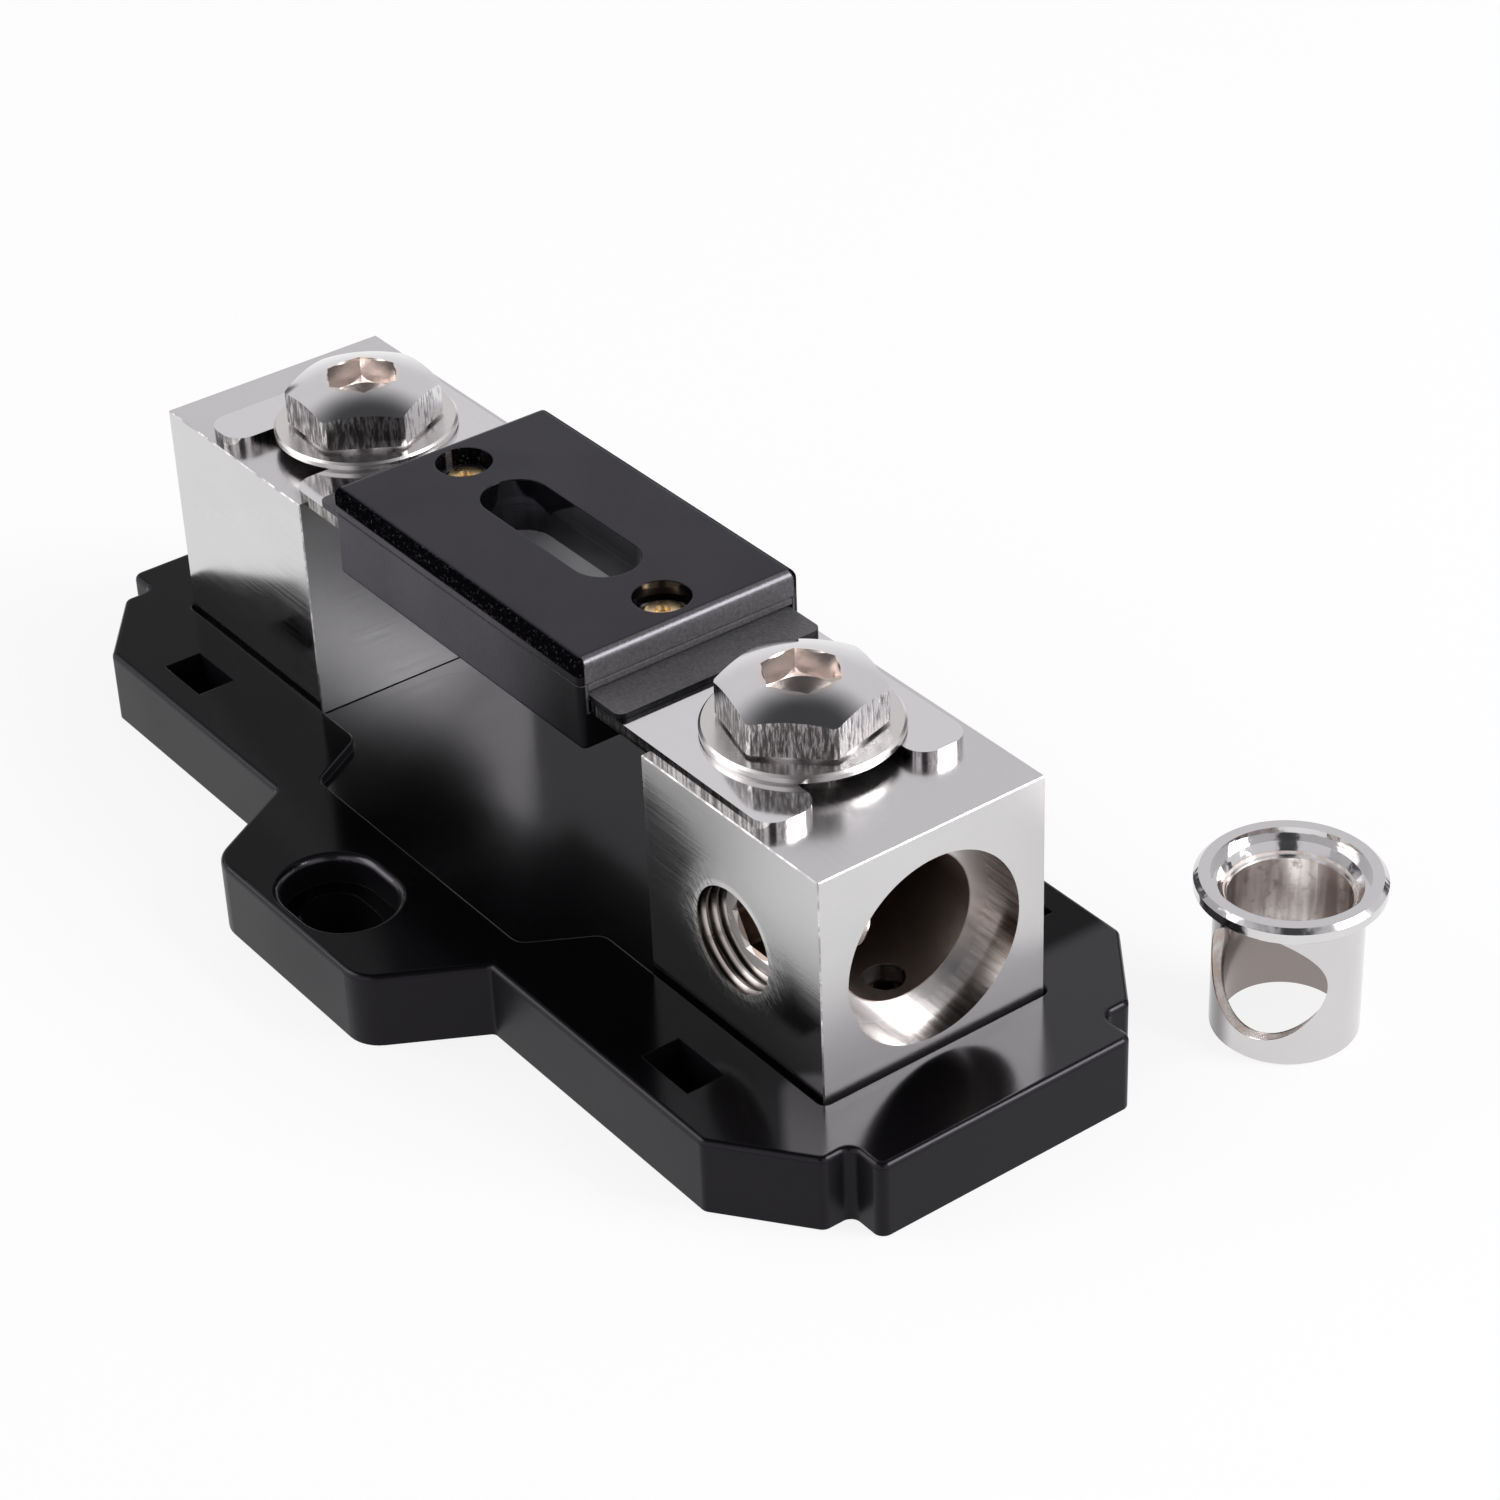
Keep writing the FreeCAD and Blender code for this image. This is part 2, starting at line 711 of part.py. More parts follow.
def make_set_screw(label):
    """Socket screw along its own Z, with the hexagon socket at its low end."""
    body = new_body(label)
    radius, edge, length = s.set_screw_radius, s.set_screw_chamfer, s.set_screw_length
    section = Profile(body, f"{label}_section", "XZ_Plane")
    section.polygon([
        (0, 0), (radius - edge / 2, 0), (radius, edge / 2),
        (radius, length - edge), (radius - edge, length), (0, length),
    ])
    revolve(body, f"{label}_rod", section)
    flats = s.set_socket_flats
    corner = flats / (2 * math.cos(math.pi / HEX_SIDES))
    socket = Profile(body, f"{label}_hexagon")
    turns = [math.radians(60 * step) for step in range(HEX_SIDES)]
    socket.polygon([(corner * math.cos(turn), corner * math.sin(turn)) for turn in turns])
    pocket(body, f"{label}_socket", socket, s.set_socket_depth, reverse=True)
    return body


def make_base_screw(label):
    """Pan-head screw along its own Z, head down, with a cross-shaped driver recess."""
    body = new_body(label)
    head, radius = s.base_screw_head_radius, s.base_screw_radius
    height = s.base_screw_head_height
    bore_floor = recess_floor + s.cable_axis_height - s.cable_bore_radius
    rise = bore_floor - s.base_screw_tip_gap - s.base_screw_head_recess
    section = Profile(body, f"{label}_section", "XZ_Plane")
    section.polygon([
        (0, 0), (head - height / 3, 0), (head, height / 3), (head, height),
        (radius, height), (radius, rise - radius / 2), (radius / 2, rise), (0, rise),
    ])
    revolve(body, f"{label}_rod", section)
    recess = Profile(body, f"{label}_cross")
    arm, half = head * 0.55, head * 0.14
    recess.polygon(all_round([(arm, half), (half, half), (half, arm)]))
    pocket(body, f"{label}_driver_recess", recess, height / 2, reverse=True)
    return body


def make_fuse_element():
    """The strip: an open fork at the near end, a side-entry hook at the far end, and a
    thinner link between two legs, necked where it melts."""
    body = new_body("fuse_element")
    top = blade_top
    outer = cavity_length / 2 - s.fuse_fit_gap * 2
    inner = outer - s.link_leg
    corners = [
        (outer, link_bottom), (outer, block_top), (blade_reach, block_top),
        (blade_reach, top), (inner, top), (inner, link_top),
    ]
    mirrored = [(-x, z) for x, z in reversed(corners)]
    side = Profile(body, "strip_side", "XZ_Plane").polygon(corners + mirrored)
    pad(body, "strip", side, s.blade_width, symmetric=True)

    slot = (s.clamp_thread_radius + s.blade_slot_gap) * 2
    half_width = s.blade_width / 2
    past = blade_reach + OVERCUT
    fork = Profile(body, "fork_slot", offset=top)
    fork.rectangle((bolt_place + past) / 2, 0, past - bolt_place, slot)
    pocket(body, "fork", fork)
    fork_end = Profile(body, "fork_round", offset=top)
    fork_end.circle(bolt_place, 0, slot / 2)
    pocket(body, "fork_end", fork_end)
    hook = Profile(body, "hook_slot", offset=top)
    beyond = half_width + OVERCUT
    hook.rectangle(-bolt_place, -beyond / 2, slot, beyond)
    pocket(body, "hook", hook)
    hook_end = Profile(body, "hook_round", offset=top)
    hook_end.circle(-bolt_place, 0, slot / 2)
    pocket(body, "hook_end", hook_end)

    necks = Profile(body, "link_necks", offset=top)
    cut = (s.blade_width - s.link_neck_width) / 2 + OVERCUT
    for sign in (1, -1):
        necks.rectangle(0, (s.link_neck_width + cut) / 2 * sign, s.link_neck_length, cut)
    pocket(body, "necks", necks)
    holes = Profile(body, "fuse_screw_holes", offset=top)
    for sign in (1, -1):
        holes.circle(fuse_screw_place * sign, 0, s.blade_hole_radius)
    pocket(body, "screw_clearances", holes)

    free_end = s.fuse_length.value / 2 + 1
    prong = half_width - slot / 2
    dress(
        body, "Fillet", "blade_corners", (prong - s.blade_prong_flat) / 2,
        lambda middle, box: upright(box) and abs(middle.x) > free_end
        and middle.z > block_top.value
        and (close(abs(middle.x), blade_reach.value) or close(middle.y, -half_width.value)),
    )
    return body


def make_fuse_housing():
    """The tray that carries the strip: two end ledges and a hollow between them."""
    body = new_body("fuse_housing")
    height = cover_bottom - fuse_bottom
    tray = Profile(body, "tray", offset=fuse_bottom).rectangle(0, 0, s.fuse_length, fuse_width)
    pad(body, "tray_block", tray, height)
    dress(body, "Fillet", "tray_corners", s.fuse_corner_radius, lambda middle, box: upright(box))
    dress(
        body, "Fillet", "tray_lower_edge", s.fuse_lower_edge,
        lambda middle, box: close(middle.z, fuse_bottom.value),
    )
    notch_width = s.blade_width + s.fuse_fit_gap * 2
    channel = Profile(body, "channel", offset=cover_bottom)
    channel.rectangle(0, 0, s.fuse_length + OVERCUT * 2, notch_width)
    pocket(body, "blade_channel", channel, cover_bottom - block_top)
    hollow = Profile(body, "hollow", offset=cover_bottom)
    hollow.rectangle(0, 0, cavity_length, notch_width)
    pocket(body, "cavity", hollow, height - s.fuse_floor)
    pilots = Profile(body, "pilots", offset=block_top)
    for sign in (1, -1):
        pilots.circle(fuse_screw_place * sign, 0, s.fuse_screw_radius + s.fuse_fit_gap / 2)
    screw_tip = fuse_screw_level - s.fuse_screw_length
    pocket(body, "screw_pilots", pilots, block_top - screw_tip + s.fuse_fit_gap)
    return body


def make_fuse_cover():
    """The lid: a rounded plate with a tongue at each end that fills the blade channel
    and runs on over the strip, an oblong window with a collar under it, and two wells
    for its screws."""
    body = new_body("fuse_cover")
    plate = Profile(body, "lid", offset=cover_bottom).rectangle(0, 0, s.fuse_length, fuse_width)
    pad(body, "lid_plate", plate, s.cover_thickness)
    dress(body, "Fillet", "lid_corners", s.fuse_corner_radius, lambda middle, box: upright(box))
    dress(
        body, "Fillet", "lid_top_edge", s.cover_edge_radius,
        lambda middle, box: close(middle.z, fuse_top.value),
    )
    dress(
        body, "Chamfer", "lid_lower_edge", s.cover_lower_edge,
        lambda middle, box: close(middle.z, cover_bottom.value)
        and close(abs(middle.y), fuse_width.value / 2),
    )
    tongue_length = s.fuse_ledge - s.fuse_fit_gap
    tongues = Profile(body, "tongues", offset=cover_bottom)
    for sign in (1, -1):
        tongues.rectangle(
            (s.fuse_length - tongue_length) / 2 * sign, 0,
            tongue_length, s.blade_width + s.fuse_fit_gap,
        )
    pad(body, "end_tongues", tongues, s.cover_tongue_height, reverse=True)

    # A thin apron runs out over the strip towards each washer, below a shadow gap.
    end = s.fuse_length / 2
    apron_start = end - s.fuse_ledge / 2
    apron_end = bolt_place - s.washer_radius - s.apron_washer_gap
    aprons = Profile(body, "aprons", offset=blade_top)
    gaps = Profile(body, "apron_gap_section", "XZ_Plane")
    gap_length = s.apron_gap_depth + OVERCUT
    for sign in (1, -1):
        aprons.rectangle(
            (apron_start + apron_end) / 2 * sign, 0, apron_end - apron_start, s.blade_width,
        )
        gaps.rectangle(
            (end - s.apron_gap_depth + gap_length / 2) * sign,
            blade_top + s.apron_thickness + s.apron_gap / 2, gap_length, s.apron_gap,
        )
    pad(body, "end_aprons", aprons, s.apron_thickness)
    cut = pocket(body, "apron_gaps", gaps, fuse_width * 2)
    cut.SideType = "Symmetric"
    dress(
        body, "Fillet", "apron_corners", s.apron_corner_radius,
        lambda middle, box: upright(box) and close(abs(middle.x), apron_end.value),
    )
    collar = Profile(body, "collar", offset=cover_bottom)
    collar.obround(0, 0, window_run, collar_width)
    pad(body, "window_collar", collar, cover_bottom - lens_top, reverse=True)

    lower_opening = Profile(body, "lower_opening", offset=cover_bottom)
    lower_opening.obround(0, 0, window_run, s.window_width + s.window_step * 2)
    pocket(body, "lower_window", lower_opening, cover_bottom - lens_top)
    opening = Profile(body, "opening", offset=fuse_top)
    opening.obround(0, 0, window_run, s.window_width)
    pocket(body, "window", opening, s.cover_thickness)
    wells = Profile(body, "wells", offset=fuse_top)
    shafts = Profile(body, "shafts", offset=fuse_top)
    for sign in (1, -1):
        wells.circle(fuse_screw_place * sign, 0, s.fuse_screw_well_radius)
        shafts.circle(fuse_screw_place * sign, 0, s.fuse_screw_radius + s.fuse_screw_hole_gap)
    pocket(body, "screw_wells", wells, fuse_top - fuse_screw_level)
    pocket(body, "screw_shafts", shafts)
    return body


def make_fuse_window():
    body = new_body("fuse_window")
    lens = Profile(body, "lens", offset=lens_top)
    lens.obround(0, 0, window_run, collar_width)
    pad(body, "lens_plate", lens, s.lens_thickness, reverse=True)
    return body


def make_fuse_screw(label):
    """Small brass screw along its own Z with its seat at height zero."""
    body = new_body(label)
    head, height = s.fuse_screw_head_radius, s.fuse_screw_head_height
    dimple, sink = s.fuse_screw_dimple_radius, s.fuse_screw_dimple_depth
    section = Profile(body, f"{label}_section", "XZ_Plane")
    section.polygon([
        (0, -s.fuse_screw_length), (s.fuse_screw_radius, -s.fuse_screw_length),
        (s.fuse_screw_radius, 0), (head, 0), (head, height / 2),
        (head * 0.75, height * 0.9), (dimple * 1.3, height), (dimple, height - sink), (0, height - sink),
    ])
    revolve(body, f"{label}_rod", section)
    return body


def make_sleeve():
    """Flanged reducing sleeve standing on its open end, with one wide side opening
    for the set screw and a stepped mouth."""
    body = new_body("reducer_sleeve")
    top = s.sleeve_height
    under = top - s.sleeve_flange_thickness
    edge = s.sleeve_flange_edge
    flange = s.sleeve_seat_radius - s.sleeve_flange_gap
    barrel = s.cable_bore_radius - s.sleeve_barrel_gap
    bore = barrel - s.sleeve_wall
    mouth = flange - s.sleeve_lip_width
    section = Profile(body, "sleeve_section", "YZ_Plane")
    section.polygon([
        (bore, 0),
        (barrel - edge / 2, 0),
        (barrel, edge / 2),
        (barrel, under),
        (flange - edge / 2, under),
        (flange, under + edge / 2),
        (flange, top - edge),
        (flange - edge, top),
        (mouth, top),
        (mouth, top - s.sleeve_lip_depth),
        (bore + s.sleeve_step_width, top - s.sleeve_lip_depth),
        (bore, top - s.sleeve_step_depth),
    ])
    revolve(body, "sleeve_wall", section)
    opening = s.set_screw_radius + s.sleeve_window_gap
    window = Profile(body, "side_window", "XZ_Plane")
    window.circle(0, under - s.sleeve_window_rim - opening, opening)
    pocket(body, "side_opening", window, flange + OVERCUT, reverse=True)
    sleeve_x, sleeve_y = base_end - s.sleeve_end_offset, base_side + s.sleeve_side_offset
    place(body, sleeve_x, sleeve_y)
    return turned(body, s.sleeve_turn)


def make_end(end, side):
    """Everything that the two ends share; side is 1 for near and -1 for far."""
    turn = 0.0 if side == 1 else HALF_TURN
    block = make_block(f"{end}_terminal_block")
    place(block, block_place * side, nothing, recess_floor, angle=turn)
    bolt = make_clamp_bolt(f"{end}_clamp_bolt", getattr(s, f"{end}_socket_turn"))
    place(bolt, bolt_place * side, nothing, head_seat)
    turned(bolt, getattr(s, f"{end}_bolt_turn"))
    washer = make_washer(f"{end}_clamp_washer")
    place(washer, bolt_place * side, nothing, blade_top)
    set_screw = make_set_screw(f"{end}_set_screw")
    # The set screws enter from opposite long sides, as the turned blocks do.
    mouth = (s.block_width / 2 - s.set_screw_inset) * -side
    place(
        set_screw, block_place * side, mouth, recess_floor + s.set_screw_height,
        Vector(1, 0, 0), -90.0 * side,
    )
    base_screw = make_base_screw(f"{end}_base_screw")
    place(base_screw, base_screw_place * side, nothing, s.base_screw_head_recess)
    fuse_screw = make_fuse_screw(f"{end}_fuse_screw")
    place(fuse_screw, fuse_screw_place * side + s.fuse_shift_x, s.fuse_shift_y, fuse_screw_level)
    return [block, bolt, washer, set_screw, base_screw, fuse_screw]


def check(pieces):
    """Stops when any object failed or any piece isn't one valid solid."""
    for item in doc.Objects:
        if "Invalid" in item.State or "Error" in item.State:
            raise RuntimeError(f"{item.Name} failed: {item.State}")
    for piece in pieces:
        shape = piece.Shape
        if shape.isNull() or not shape.isValid() or len(shape.Solids) != 1:
            raise RuntimeError(f"{piece.Label} isn't one valid solid")


def main():
    pieces = [make_base(), make_sleeve()]
    for end, side in (("near", 1), ("far", -1)):
        pieces += make_end(end, side)
    # The fuse lies where the play of its slots let it come to rest.
    for make in (make_fuse_element, make_fuse_housing, make_fuse_cover, make_fuse_window):
        body = make()
        place(body, s.fuse_shift_x, s.fuse_shift_y)
        pieces.append(body)
    doc.recompute()
    check(pieces)
    os.makedirs(PARTS_FOLDER, exist_ok=True)
    for piece in pieces:
        piece.Shape.exportStep(os.path.join(PARTS_FOLDER, f"{piece.Label}.step"))
        box = piece.Shape.BoundBox
        print(f"{piece.Label}: {piece.Shape.Volume:.1f} mm3, z {box.ZMin:.2f} to {box.ZMax:.2f}")


main()
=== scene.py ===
import json
import math

import bmesh
import bpy
from mathutils import Matrix, Vector


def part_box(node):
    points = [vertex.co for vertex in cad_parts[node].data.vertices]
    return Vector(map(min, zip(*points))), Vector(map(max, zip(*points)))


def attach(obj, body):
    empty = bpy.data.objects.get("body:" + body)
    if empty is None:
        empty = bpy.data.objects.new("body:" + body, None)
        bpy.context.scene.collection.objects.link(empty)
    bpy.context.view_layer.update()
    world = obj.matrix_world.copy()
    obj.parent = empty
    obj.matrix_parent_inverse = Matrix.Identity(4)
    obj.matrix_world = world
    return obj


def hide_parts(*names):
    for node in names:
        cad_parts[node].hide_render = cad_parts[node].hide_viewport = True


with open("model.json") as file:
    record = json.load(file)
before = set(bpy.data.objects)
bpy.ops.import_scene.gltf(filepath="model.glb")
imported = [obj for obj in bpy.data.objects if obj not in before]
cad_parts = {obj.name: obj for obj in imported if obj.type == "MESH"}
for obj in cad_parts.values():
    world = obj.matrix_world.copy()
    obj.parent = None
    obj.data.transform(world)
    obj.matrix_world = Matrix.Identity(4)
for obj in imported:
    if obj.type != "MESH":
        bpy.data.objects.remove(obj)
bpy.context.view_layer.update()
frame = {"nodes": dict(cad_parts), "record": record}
nodes = frame["nodes"]
scene = bpy.context.scene

# Sizes are in metres. A pair of sizes is the stretch over which a tone or a gloss changes.
MM = 0.001

# The base: its recess, and the ears with a seat for a screw in each.
BASE_SIDE = 21.0 * MM
RECESS_FLOOR = 6.0 * MM
EAR_HALF_LENGTH = 10.5 * MM
EAR_SEAT_HALF_LENGTH = 6.5 * MM
EAR_SEAT_START = 19.8 * MM
EAR_SEAT_END = 30.0 * MM
RECESS_POLISH = (10.5 * MM, 13.5 * MM)
RECESS_SLANT = 0.72

# The clamp blocks: the cable bore with its seat, and the threaded side hole.
BLOCK_PLACE = 36.1 * MM
BLOCK_SIDE = 11.9 * MM
BLOCK_INNER_FACE = 25.0 * MM
BORE_MOUTH = 43.5 * MM
BORE_HEIGHT = 16.3 * MM
BORE_RADIUS = 6.5 * MM
SEAT_RADIUS = 8.4 * MM
SEAT_FLOOR = BORE_MOUTH - 3.7 * MM
SIDE_HOLE_HEIGHT = 15.9 * MM
SIDE_HOLE_RADIUS = 4.55 * MM
SIDE_SLANT = 0.4
# Painted shade on the lower part of the bored side.
LOW_SIDE_PAINTED_SHADE = (18.0 * MM, 9.0 * MM)
HIGH_SIDE = (17.0 * MM, 24.0 * MM)
# Painted light on the inner faces, brightest towards one corner.
PAINTED_LIGHT_CORNER = (17.0 * MM, -2.0 * MM)
SCUFFED_RING = (7.8 * MM, 4.4 * MM)
# Height over which the seat walls are painted paler low down, as a painted highlight.
SEAT_PAINTED_LIGHT_PART = (13.0 * MM, 9.5 * MM)
# Depth over which painted shade darkens each bore away from its mouth.
BORE_SHADE_DEPTH = 9.0 * MM

# The fuse: the lid's edge, a painted dark reflection in a band below it, painted shade at the near
# end of the long sides, and the wells inside the lid's walls.
LID_EDGE = 0.9 * MM
DARK_BAND = 1.75 * MM
INNER_WALL = 2.2 * MM
WELL_LIP = 0.05 * MM
NEAR_END_SHADE = (4.0 * MM, 15.5 * MM)

# The sleeve, whose bore has painted shade in its lower part and whose wall has painted shade on
# one side.
SLEEVE_BORE_RADIUS = 5.0 * MM
BARREL_RADIUS = 6.05 * MM
FLANGE_UNDERSIDE = 13.1 * MM
BORE_UPPER_PART = (5.0 * MM, 7.0 * MM)
SLEEVE_PAINTED_SHADE_SIDE = (-0.6, -0.8)

# The clamp bolts, whose heads have painted shade on one side.
BOLT_PLACE = 31.3 * MM
BOLT_HEAD_SIDES = 5.9 * MM
BOLT_PAINTED_SHADE_SIDE = (0.35, -0.94, 0.0)
BOLT_SOCKET_CORNER = 3.45 * MM
BOLT_CREST = 3.95 * MM
BOLT_THREAD_DEPTH = 0.6 * MM
BOLT_PITCH = 1.25 * MM
BOLT_NECK = 0.4 * MM

# The set screws.
SET_SOCKET_INRADIUS = 2.5 * MM
SET_SOCKET_DEPTH = 3.2 * MM
SET_THREAD_DEPTH = 0.5 * MM
SET_PITCH = 1.0 * MM

# The heights at which the base screws' points start and end.
POINT_START = (7.0 * MM, 7.4 * MM)
POINT_END = 9.4 * MM

# Points round a turned piece, steps along one turn of a thread, and how steep its flanks are.
COLUMNS = 72
STEPS_A_PITCH = 8
THREAD_FLANK = 2.4

# Gaps and overlaps too small to see.
FLOOR_GAP = 0.05 * MM
HEAD_OVERLAP = 0.1 * MM
HAIR = 0.02 * MM


class Graph:
    """Short way to write a node tree: values and sockets both go in as inputs."""

    def __init__(self, tree):
        self.tree = tree
        self.tree.nodes.clear()

    def add(self, kind, inputs=None, output=0, **settings):
        node = self.tree.nodes.new(kind)
        for name, value in settings.items():
            setattr(node, name, value)
        for name, value in (inputs or {}).items():
            self.feed(node.inputs[name], value)
        return node.outputs[output] if node.outputs else node

    def feed(self, socket, value):
        """Links a socket, or sets it; a colour is given as three numbers."""
        if isinstance(value, bpy.types.NodeSocket):
            self.tree.links.new(value, socket)
        elif socket.type == "RGBA":
            socket.default_value = (*value, 1.0)
        else:
            socket.default_value = value

    def math(self, operation, first, second=0.0, clamp=False):
        return self.add(
            "ShaderNodeMath", {0: first, 1: second}, operation=operation, use_clamp=clamp,
        )

    def in_turn(self, operation, first, others):
        """Takes each of the others in turn to what the ones before it gave."""
        for other in others:
            first = self.math(operation, first, other)
        return first

    def plus(self, first, *others):
        return self.in_turn("ADD", first, others)

    def less(self, first, *others):
        return self.in_turn("SUBTRACT", first, others)

    def times(self, first, *others):
        return self.in_turn("MULTIPLY", first, others)

    def most(self, first, *others):
        return self.in_turn("MAXIMUM", first, others)

    def size(self, value):
        return self.math("ABSOLUTE", value)

    def above(self, value, level):
        """Mask that is one where a value is over a level."""
        return self.math("GREATER_THAN", value, level)

    def below(self, value, level):
        """Mask that is one where a value is under a level."""
        return self.math("LESS_THAN", value, level)

    def both(self, *masks):
        """Mask that is one only where all of the masks are one."""
        return self.times(*masks)

    def outside(self, mask):
        """Mask that is one where another is nought."""
        return self.math("SUBTRACT", 1.0, mask)

    def remap(self, value, low, high, to_low=0.0, to_high=1.0):
        """Smooth ramp of a value between two levels."""
        levels = {"From Min": low, "From Max": high, "To Min": to_low, "To Max": to_high}
        return self.add(
            "ShaderNodeMapRange", {"Value": value, **levels}, interpolation_type="SMOOTHSTEP",
        )

    def vary(self, noise, low, high):
        """Value that wanders between two levels, as a noise does."""
        return self.remap(noise, 0.3, 0.7, low, high)

    def blend(self, factor, first, second):
        """Mix of two colours, whose sockets go by number, because their names repeat."""
        node = self.tree.nodes.new("ShaderNodeMix")
        node.data_type = "RGBA"
        self.feed(node.inputs[0], factor)
        self.feed(node.inputs[6], first)
        self.feed(node.inputs[7], second)
        return node.outputs[2]

    def paint(self, colour, *coats):
        """Lays coats, each a mask and its colour, over a colour in turn."""
        for mask, coat in coats:
            colour = self.blend(mask, colour, coat)
        return colour

    def place(self):
        """Position on the piece in metres; it moves with the piece."""
        return self.add("ShaderNodeTexCoord", output="Object")

    def split(self, vector):
        node = self.tree.nodes.new("ShaderNodeSeparateXYZ")
        self.feed(node.inputs[0], vector)
        return node.outputs

    def join(self, x, y, z):
        return self.add("ShaderNodeCombineXYZ", {"X": x, "Y": y, "Z": z})

    def vector_math(self, operation, inputs, output=0):
        return self.add("ShaderNodeVectorMath", inputs, output, operation=operation)

    def stretch(self, vector, factors):
        return self.vector_math("MULTIPLY", {0: vector, 1: factors})

    def facing(self):
        """Direction that the surface faces in the piece's own axes."""
        normal = self.add("ShaderNodeNewGeometry", output="True Normal")
        return self.add(
            "ShaderNodeVectorTransform", {"Vector": normal},
            vector_type="NORMAL", convert_from="WORLD", convert_to="OBJECT",
        )

    def face(self):
        """How far the surface faces along each of the piece's own axes, from 0 to 1."""
        return self.split(self.vector_math("ABSOLUTE", {0: self.facing()}))

    def towards(self, direction):
        """How squarely the surface faces one direction in the piece's own axes."""
        return self.vector_math("DOT_PRODUCT", {0: self.facing(), 1: direction}, output="Value")

    def noise(self, vector, scale, detail=3.0, roughness=0.55):
        return self.add(
            "ShaderNodeTexNoise",
            {"Vector": vector, "Scale": scale, "Detail": detail, "Roughness": roughness},
        )

    def soft_edge(self, radius):
        """Normal that turns smoothly over sharp edges, as a small rounding does."""
        return self.add("ShaderNodeBevel", {"Radius": radius}, samples=4)

    def ring(self, first, second, middle_first, middle_second):
        """Distance from an axis, measured in two of the piece's directions."""
        first = self.less(first, middle_first)
        second = self.less(second, middle_second)
        return self.math("SQRT", self.plus(self.times(first, first), self.times(second, second)))

    def bump(self, height, depth, strength, normal=None):
        inputs = {"Height": height, "Distance": depth, "Strength": strength}
        if normal is not None:
            inputs["Normal"] = normal
        return self.add("ShaderNodeBump", inputs)


def new_material(name):
    material = bpy.data.materials.new(name)
    material.use_nodes = True
    return material, Graph(material.node_tree)


def finish_material(material, graph, **inputs):
    """Ends a material in one surface, with its inputs given by name."""
    named = {name.replace("_", " "): value for name, value in inputs.items()}
    surface = graph.add("ShaderNodeBsdfPrincipled", named)
    graph.add("ShaderNodeOutputMaterial", {"Surface": surface})
    return material


def finish_metal(material, graph, colour, roughness, bump=None, metal=1.0):
    """Ends a metal's material; metal is below one where the surface is rough and pale."""
    inputs = {} if bump is None else {"Normal": bump}
    return finish_material(
        material, graph, Base_Color=colour, Metallic=metal, Roughness=roughness, **inputs,
    )


def brushed(graph, across, along):
    """Fine straight brush lines, as a height: level on walls, and along X on top faces."""
    x, y, z = graph.split(graph.place())
    on_top = graph.remap(graph.face()[2], 0.6, 0.8)
    wall, top = graph.times(z, across), graph.times(y, across)
    line = graph.plus(graph.times(wall, graph.outside(on_top)), graph.times(top, on_top))
    level = graph.times(graph.plus(x, y), along)
    return graph.noise(graph.join(level, line, 0.0), 1.0, detail=5.0, roughness=0.65)


def base_plastic():
    """Black moulded plastic: glossy in the recess and on the near end's ledge, deep black
    on the other ledges, a finer satin on the outer walls, and bright rims round the seats
    in the ears."""
    material, graph = new_material("base_plastic")
    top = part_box("base")[1].z
    place = graph.place()
    x, y, z = graph.split(place)
    off_x, off_y = graph.size(x), graph.size(y)
    steep = graph.face()[2]
    grain = graph.noise(place, 1900.0, detail=2.0)
    ripple = graph.noise(place, 55.0, detail=2.0)

    def past_slant(start):
        """Distance past a slanting line that crosses the middle of the base at start."""
        return graph.plus(y, graph.times(graph.less(x, start), RECESS_SLANT))

    level = graph.remap(steep, 0.9, 0.98)
    walls = graph.remap(steep, 0.9, 0.3)
    rounding = graph.both(graph.remap(steep, 0.98, 0.88), graph.remap(steep, 0.15, 0.35))
    recess = graph.both(
        graph.remap(z, RECESS_FLOOR + 0.4 * MM, RECESS_FLOOR + 0.1 * MM),
        graph.above(z, RECESS_FLOOR - 0.2 * MM), level,
    )
    end_ledge = graph.both(
        graph.remap(x, BORE_MOUTH - 1.0 * MM, BORE_MOUTH + 1.0 * MM),
        graph.remap(past_slant(BORE_MOUTH), -BLOCK_SIDE - 1.0 * MM, -BLOCK_SIDE + 0.5 * MM),
        level, graph.above(z, top - 0.3 * MM),
    )
    seat_rim = graph.both(
        rounding, graph.below(off_x, EAR_SEAT_HALF_LENGTH),
        graph.above(off_y, EAR_SEAT_START), graph.below(off_y, EAR_SEAT_END),
    )

    deep = graph.blend(ripple, (0.0022, 0.0020, 0.0026), (0.0036, 0.0032, 0.0040))
    colour = graph.blend(walls, deep, (0.0072, 0.0066, 0.0080))
    gloss = graph.vary(ripple, 0.12, 0.18)
    roughness = graph.plus(gloss, graph.times(walls, 0.18))
    polish = graph.remap(past_slant(-BLOCK_INNER_FACE), *RECESS_POLISH, 0.46, 0.2)
    shine = graph.plus(0.09, graph.times(recess, polish), graph.times(end_ledge, 0.45))
    shine = graph.most(shine, graph.times(walls, 0.17), graph.times(rounding, 0.38), seat_rim)
    strength = graph.plus(graph.times(walls, 0.6), 0.3)
    bump = graph.bump(grain, 0.004 * MM, strength, graph.soft_edge(0.15 * MM))
    bump = graph.bump(ripple, 0.06 * MM, 0.5, bump)
    return finish_material(
        material, graph, Base_Color=colour, Roughness=roughness, Normal=bump,
        Specular_IOR_Level=shine,
        Specular_Tint=graph.blend(walls, (0.97, 0.94, 1.0), (0.92, 0.85, 1.0)),
    )


